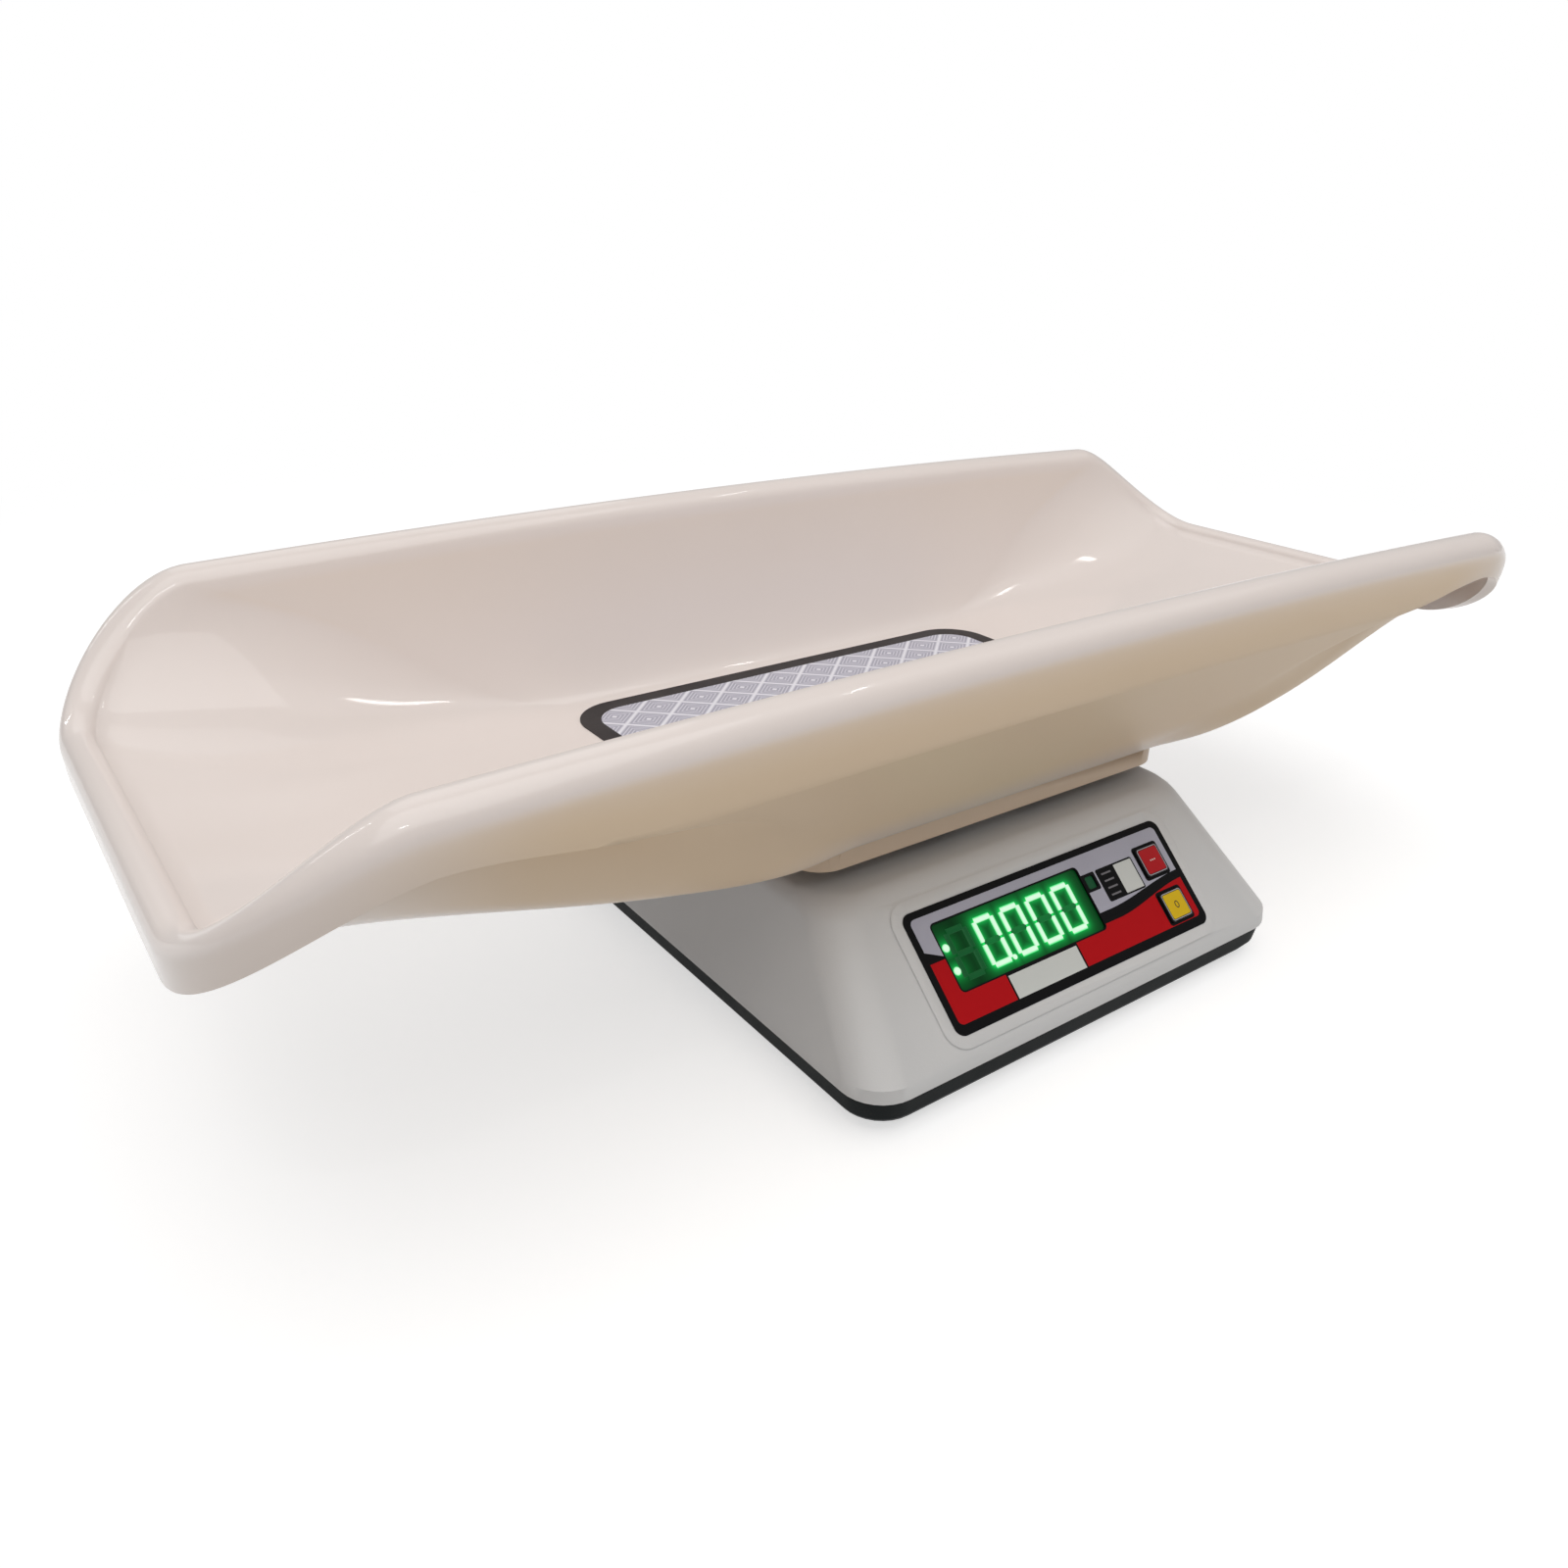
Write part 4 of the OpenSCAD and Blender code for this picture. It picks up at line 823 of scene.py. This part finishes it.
def makeDigits():
    lit = barFinish()
    dark = litFinish("unlitBars", (0.02, 0.5, 0.12, 1.0), 0.09, srgb(20, 74, 38))
    washed = litFinish("unlitMiddles", (0.015, 0.6, 0.12, 1.0), 0.22, srgb(12, 52, 26))
    lens = panel["bezel"] - panel["recess"]
    rows = (("litDigits", lit, {}, digitRow["first"][0], 0.00002),
            ("unlitMiddles", washed, {"Outer": 0.0, "Middle": 1.0}, digitRow["first"][0], 0.0),
            ("unlitDigit", dark, {"Count": 1, "Middle": 1.0}, digitRow["unlitX"], 0.0))
    for name, material, change, x, lift in rows:
        sizes = {**digits, **change}
        piece = grow(name, digitTree(sizes, material), sizes, "base")
        onPanel(piece, x, digitRow["first"][1], lens + lift)
    for name, (x, up, radius) in dots.items():
        work = bmesh.new()
        bmesh.ops.create_uvsphere(work, u_segments=20, v_segments=10, radius=radius)
        bmesh.ops.scale(work, verts=work.verts, vec=(1, 1, 0.2))  # a flat pebble
        mesh = meshFrom(work, name + "Dot")
        mesh.shade_smooth()
        onPanel(addPiece(name + "Dot", mesh, lit, "base"), x, up, lens)


frame["nodes"]["panel_film"].material_slots[0].material = panelFinish()
frame["nodes"]["display_lens"].material_slots[0].material = glowFinish()
frame["nodes"]["digit_block"].material_slots[0].material = finishes["switch"]
makeDigits()
frame["nodes"]["mains_lamp"].material_slots[0].material = litFinish(
    "mainsWindow", (0.05, 0.6, 0.2, 1.0), 0.05, srgb(28, 66, 44))


keyLook = {"face": (0.0050, 0.0008), "line": (0.0054, 0.0010, 0.00016), "worn": 0.3, "specular": 0.25,
           "half": 0.006, "corner": 0.001, "out": 0.0017, "edge": 0.0003, "crown": 0.00025,
           "flange": 0.007, "flangeThick": 0.0008, "stem": 0.002, "stemEnd": -0.0058, "ink": 0.00004,
           "air": 0.00001}  # air keeps the cap, flange and stem apart as solids


def roundLoop(work, half, corner, height, steps=6):  # square with round corners, as one loop of vertices
    loop = []
    for turn, (cx, cy) in enumerate(((1, 1), (-1, 1), (-1, -1), (1, -1))):
        for step in range(steps + 1):
            angle = math.pi / 2 * (turn + step / steps)
            loop.append(work.verts.new((cx * (half - corner) + corner * math.cos(angle),
                                        cy * (half - corner) + corner * math.sin(angle), height)))
    return loop


def closeLoops(work, loops):  # a closed solid through equal loops, lowest first
    for lower, upper in zip(loops, loops[1:]):
        for i, vertex in enumerate(lower):
            k = (i + 1) % len(lower)
            work.faces.new((vertex, lower[k], upper[k], upper[i]))
    work.faces.new(loops[-1])
    work.faces.new(list(reversed(loops[0])))


def flatRing(work, outer, inner, low, high, steps=40):  # printed ring, inner = (0, 0) for a dot
    corners = [(outer, low), (outer, high), (inner, high), (inner, low)]
    rows = [[work.verts.new((half[0] * math.cos(2 * math.pi * i / steps),
                             half[1] * math.sin(2 * math.pi * i / steps), height)) for i in range(steps)]
            for half, height in corners]
    for row, after in zip(rows, rows[1:] + rows[:1]):
        for i, vertex in enumerate(row):
            k = (i + 1) % steps
            work.faces.new((vertex, row[k], after[k], after[i]))


def keyFinish(name, up, tone):  # coloured face inside a dark border with a thin pale line
    material, tree, shader = newMaterial(name)
    coords, x, height = panelSpace(tree)
    spot = (panel["keyX"], up)
    worn = noise(tree, coords, 90.0, 3.0) * keyLook["worn"]
    worn = mixColor(tree, worn, tone, darker(tone, 0.7))
    half, corner = keyLook["face"]
    face = roundBox(x, height, spot, (half, half), corner)
    color = mixColor(tree, face < 0.0, srgb(12, 12, 14), worn)
    half, corner, width = keyLook["line"]
    border = abs(roundBox(x, height, spot, (half, half), corner))
    tree.links.new(mixColor(tree, border < width, color, srgb(176, 174, 180)), shader.inputs["Base Color"])
    unevenGloss(tree, shader, coords, 0.35, 0.1, 150.0, 2.0)
    setInputs(shader, Specular_IOR_Level=keyLook["specular"])
    bump(tree, shader, noise(tree, coords, 1300.0, 2.0), 0.00003)
    return material


def makeKey(name, node, material, ink, up, marks):
    # cap with a rolled edge and crowned face, its flange and stem, and a generic printed mark
    look = keyLook
    work = bmesh.new()
    edge, out = look["edge"], look["out"]
    cap = [(0.0, 0.0), (0.0, out - edge), (edge * 0.3, out - edge * 0.3), (edge, out)]
    loops = [roundLoop(work, look["half"] - inset, look["corner"] - inset / 2, height)
             for inset, height in cap]
    for share in (0.8, 0.55, 0.3):  # the face rises to its middle
        height = out + look["crown"] * (1 - share ** 2)
        loops.append([work.verts.new((v.co.x * share, v.co.y * share, height)) for v in loops[3]])
    closeLoops(work, loops)
    closeLoops(work, [roundLoop(work, look["flange"], look["corner"] * 1.5, height)
                      for height in (-look["flangeThick"], -look["air"])])
    closeLoops(work, [roundLoop(work, look["stem"], look["stem"] * 0.999, height)
                      for height in (look["stemEnd"], -look["flangeThick"] - look["air"])])
    mesh = settle(meshFrom(work, name), 50.0)
    onPanel(addPiece(name, mesh, material, node, (node,)), panel["keyX"], up, 0.0)
    work = bmesh.new()
    for (x, y), outer, inner in marks:
        start = len(work.verts)
        flatRing(work, outer, inner, out, out + look["crown"] + look["ink"])
        work.verts.ensure_lookup_table()
        bmesh.ops.translate(work, verts=work.verts[start:], vec=(x, y, 0))
    mesh = settle(meshFrom(work, name + "Mark"), 30.0)
    onPanel(addPiece(name + "Mark", mesh, ink, node), panel["keyX"], up, 0.0)


dot = (0.00032, 0.00032)
makeKey("functionCap", "function_key",
        keyFinish("redKeyFilm", panel["functionUp"], srgb(186, 14, 24)), finishes["keyPrint"],
        panel["functionUp"], [((x, 0.0), dot, (0.00004, 0.00004)) for x in (-0.0011, 0.0, 0.0011)])
makeKey("zeroCap", "zero_key",
        keyFinish("yellowKeyFilm", panel["zeroUp"], srgb(226, 188, 14)), finishes["keyInk"],
        panel["zeroUp"], [((0.0, 0.0), (0.00105, 0.0015), (0.00068, 0.0011))])
print("panel: printed and lit")


# Printed marks on the rocker's two halves

rocker = {"pivot": (0.050, 0.0975, 0.0385), "tilt": math.radians(9), "half": 0.0075, "waist": 0.0032,
          "tip": 0.005, "spot": 0.0042, "bar": (0.0005, 0.0022), "ring": (0.0019, 0.0014), "ink": 0.00005}


def markRocker(look):  # a ring on one half and a bar on the other, both just proud of the face
    rise = look["tip"] - look["waist"]
    for side, name in ((-1, "ringMark"), (1, "barMark")):
        work = bmesh.new()
        if side < 0:
            flatRing(work, (look["ring"][0],) * 2, (look["ring"][1],) * 2, -look["ink"], look["ink"])
        else:
            bmesh.ops.create_cube(work, size=2.0)
            bmesh.ops.scale(work, verts=work.verts, vec=(*look["bar"], look["ink"]))
        mesh = settle(meshFrom(work, name), 30.0)
        height = look["waist"] + rise * look["spot"] / look["half"]
        place = Matrix.Translation((side * look["spot"], height, 0))
        lean = Matrix.Rotation(side * math.atan2(rise, look["half"]), 4, "Z")
        upright = Matrix.Rotation(-math.pi / 2, 4, "X")
        mesh.transform(Matrix.Translation(look["pivot"]) @ Matrix.Rotation(look["tilt"], 4, "Z")
                       @ place @ lean @ upright)
        addPiece(name, mesh, finishes["mark"], "power_rocker")


markRocker(rocker)
print("rocker: marked")


# Screws with cross recesses, seen from below

screws = {"Across": 0.1, "Back": 0.1, "Columns": 2, "Rows": 2, "Head": 0.006, "Head height": 0.0013,
          "Shank": 0.003, "Shank length": 0.01, "Slot": 0.0009, "Slot share": 0.62, "Slot depth": 0.0008}


def screwTree(sizes, material):
    tree, size = newGeometry("crossScrews", sizes)
    head = addNode(tree, "GeometryNodeMeshCylinder", Vertices=40, Radius=size["Head"] / 2.0,
                   Depth=size["Head height"]).outputs[0]
    head = transform(tree, head, move=vector(tree, 0.0, 0.0, -(size["Head height"] / 2.0)))
    shank = addNode(tree, "GeometryNodeMeshCylinder", Vertices=24, Radius=size["Shank"] / 2.0,
                    Depth=size["Shank length"]).outputs[0]
    shank = transform(tree, shank, move=vector(tree, 0.0, 0.0, size["Shank length"] / 2.0))
    blade = addNode(tree, "GeometryNodeMeshCube", Size=vector(
        tree, size["Head"] * size["Slot share"], size["Slot"], size["Slot depth"] * 2.0)).outputs[0]
    turned = transform(tree, blade, turn=(0.0, 0.0, math.pi / 2))
    cut = addNode(tree, "GeometryNodeMeshBoolean", {"operation": "DIFFERENCE"})
    plug(tree, head, cut.inputs[0])
    cross = transform(tree, join(tree, blade, turned), move=vector(tree, 0.0, 0.0, -size["Head height"]))
    plug(tree, cross, cut.inputs[1])
    spots = addNode(tree, "GeometryNodeMeshGrid", Size_X=size["Across"], Size_Y=size["Back"],
                    Vertices_X=size["Columns"], Vertices_Y=size["Rows"])
    copies = addNode(tree, "GeometryNodeInstanceOnPoints", Points=spots.outputs[0],
                     Instance=join(tree, cut.outputs[0], shank))
    closeGeometry(tree, copies.outputs[0], material)
    return tree


def placeScrews(name, node, change):  # heads down, in the rows that the solid's box gives
    low, high = (Vector(corner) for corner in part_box(node))
    sizes = {**screws, **change}
    sizes["Across"] = high.x - low.x - sizes["Head"]
    sizes["Back"] = high.y - low.y - sizes["Head"]
    sizes["Shank length"] = high.z - low.z - sizes["Head height"]
    piece = grow(name, screwTree(sizes, finishes["steel"]), sizes, "base", (node,), 30.0)
    middle = (low + high) / 2
    piece.data.transform(Matrix.Translation((middle.x, middle.y, low.z + sizes["Head height"])))


placeScrews("housingScrewSet", "housing_screws", {})
placeScrews("cellScrewSet", "load_cell_base_screws",
            {"Columns": 1, "Head": 0.0085, "Shank": 0.005, "Slot": 0.0011})
placeScrews("doorScrewSet", "battery_door_screws",
            {"Columns": 1, "Head height": 0.00065, "Slot depth": 0.0004})
print("screws: set")


# Finishes of the solids that stay as they are

for names, finish in (
        (("platter_pads", "corner_stops"), "rubber"),
        (("load_cell", "load_cell_spacer", "load_cell_post"), "alloy"),
        (("spider",), "cast"), (("display_board", "main_board"), "board"), (("battery",), "battery"),
        (("key_switches", "power_inlet"), "switch"),
        (("function_key_plunger", "zero_key_plunger"), "plunger"),
        (("load_cell_base_screws", "overload_screw", "load_cell_top_screws", "display_board_screws",
          "main_board_screws", "housing_screws", "battery_door_screws", "power_inlet_pin"), "steel")):
    for name in names:
        frame["nodes"][name].material_slots[0].material = finishes[finish]
print("solids: finished")


# Floor, lamps and world

studio = {"floor": (srgb(197, 196, 195), srgb(200, 199, 198)), "size": 12.0, "rough": 0.9,
          "fadeFrom": 0.55, "fadeTo": 1.1, "lift": 0.60, "world": 0.39, "aim": (0.0, 0.0, 0.08),
          "lamps": (("keyLamp", (-0.2, -0.6, 2.1), (2.2, 2.2), 24.0),
                    ("fillLamp", (1.3, -0.3, 1.7), (1.2, 1.2), 1.5),
                    ("backLamp", (0.2, 1.4, 1.7), (1.4, 1.4), 4.0),
                    ("stripLamp", (-0.6, -1.1, 2.0), (0.30, 0.06), 1.3),
                    ("rimStrip", (1.0, -0.15, 1.75), (0.25, 0.02), 0.4),
                    ("sideStrip", (-0.9, 1.4, 1.1), (0.03, 0.8), 1.0))}


def makeFloor(look):  # pale where the camera and glossy rays see it, fading to white
    work = bmesh.new()
    bmesh.ops.create_grid(work, x_segments=1, y_segments=1, size=look["size"])
    mesh = meshFrom(work, "floorPlane")
    material, tree, shader = newMaterial("paleFloor")
    coords, (x, y, _) = objectSpace(tree)
    ray = tree.nodes.new("ShaderNodeLightPath")
    seen = Flow(tree, ray.outputs["Is Camera Ray"]).most(Flow(tree, ray.outputs["Is Glossy Ray"]))
    far = ease((length(x, y) - look["fadeFrom"]) / (look["fadeTo"] - look["fadeFrom"]))
    pale = mixColor(tree, noise(tree, coords, 2.0), *look["floor"])
    tree.links.new(mixColor(tree, far * seen, pale, (0.0, 0.0, 0.0, 1.0)), shader.inputs["Base Color"])
    setInputs(shader, Roughness=look["rough"], Specular_IOR_Level=0.0, Emission_Color=(1.0, 1.0, 1.0, 1.0))
    plug(tree, seen * mix(look["lift"], 1.0, far), shader.inputs["Emission Strength"])
    mesh.materials.append(material)
    floor = bpy.data.objects.new("floorPlane", mesh)
    bpy.context.scene.collection.objects.link(floor)


def makeWorld(look):  # white to the camera, dimmer as a light
    world = bpy.data.worlds.new("studioWorld")
    bpy.context.scene.world = world
    world.use_nodes = True
    tree = world.node_tree
    background = tree.nodes["Background"]
    setInputs(background, Color=(1.0, 1.0, 1.0, 1.0))
    seen = Flow(tree, tree.nodes.new("ShaderNodeLightPath").outputs["Is Camera Ray"])
    plug(tree, mix(look["world"], 1.0, seen), background.inputs["Strength"])


def placeLamps(look):
    for name, place, (wide, long), power in look["lamps"]:
        data = bpy.data.lights.new(name, "AREA")
        data.shape = "RECTANGLE"
        data.size = wide
        data.size_y = long
        data.energy = power
        lamp = bpy.data.objects.new(name, data)
        lamp.location = place
        aim = Vector(look["aim"]) - Vector(place)
        lamp.rotation_euler = aim.to_track_quat("-Z", "Y").to_euler()
        bpy.context.scene.collection.objects.link(lamp)


makeFloor(studio)
makeWorld(studio)
placeLamps(studio)
bpy.context.scene.view_settings.view_transform = "Standard"
print("studio: lit")
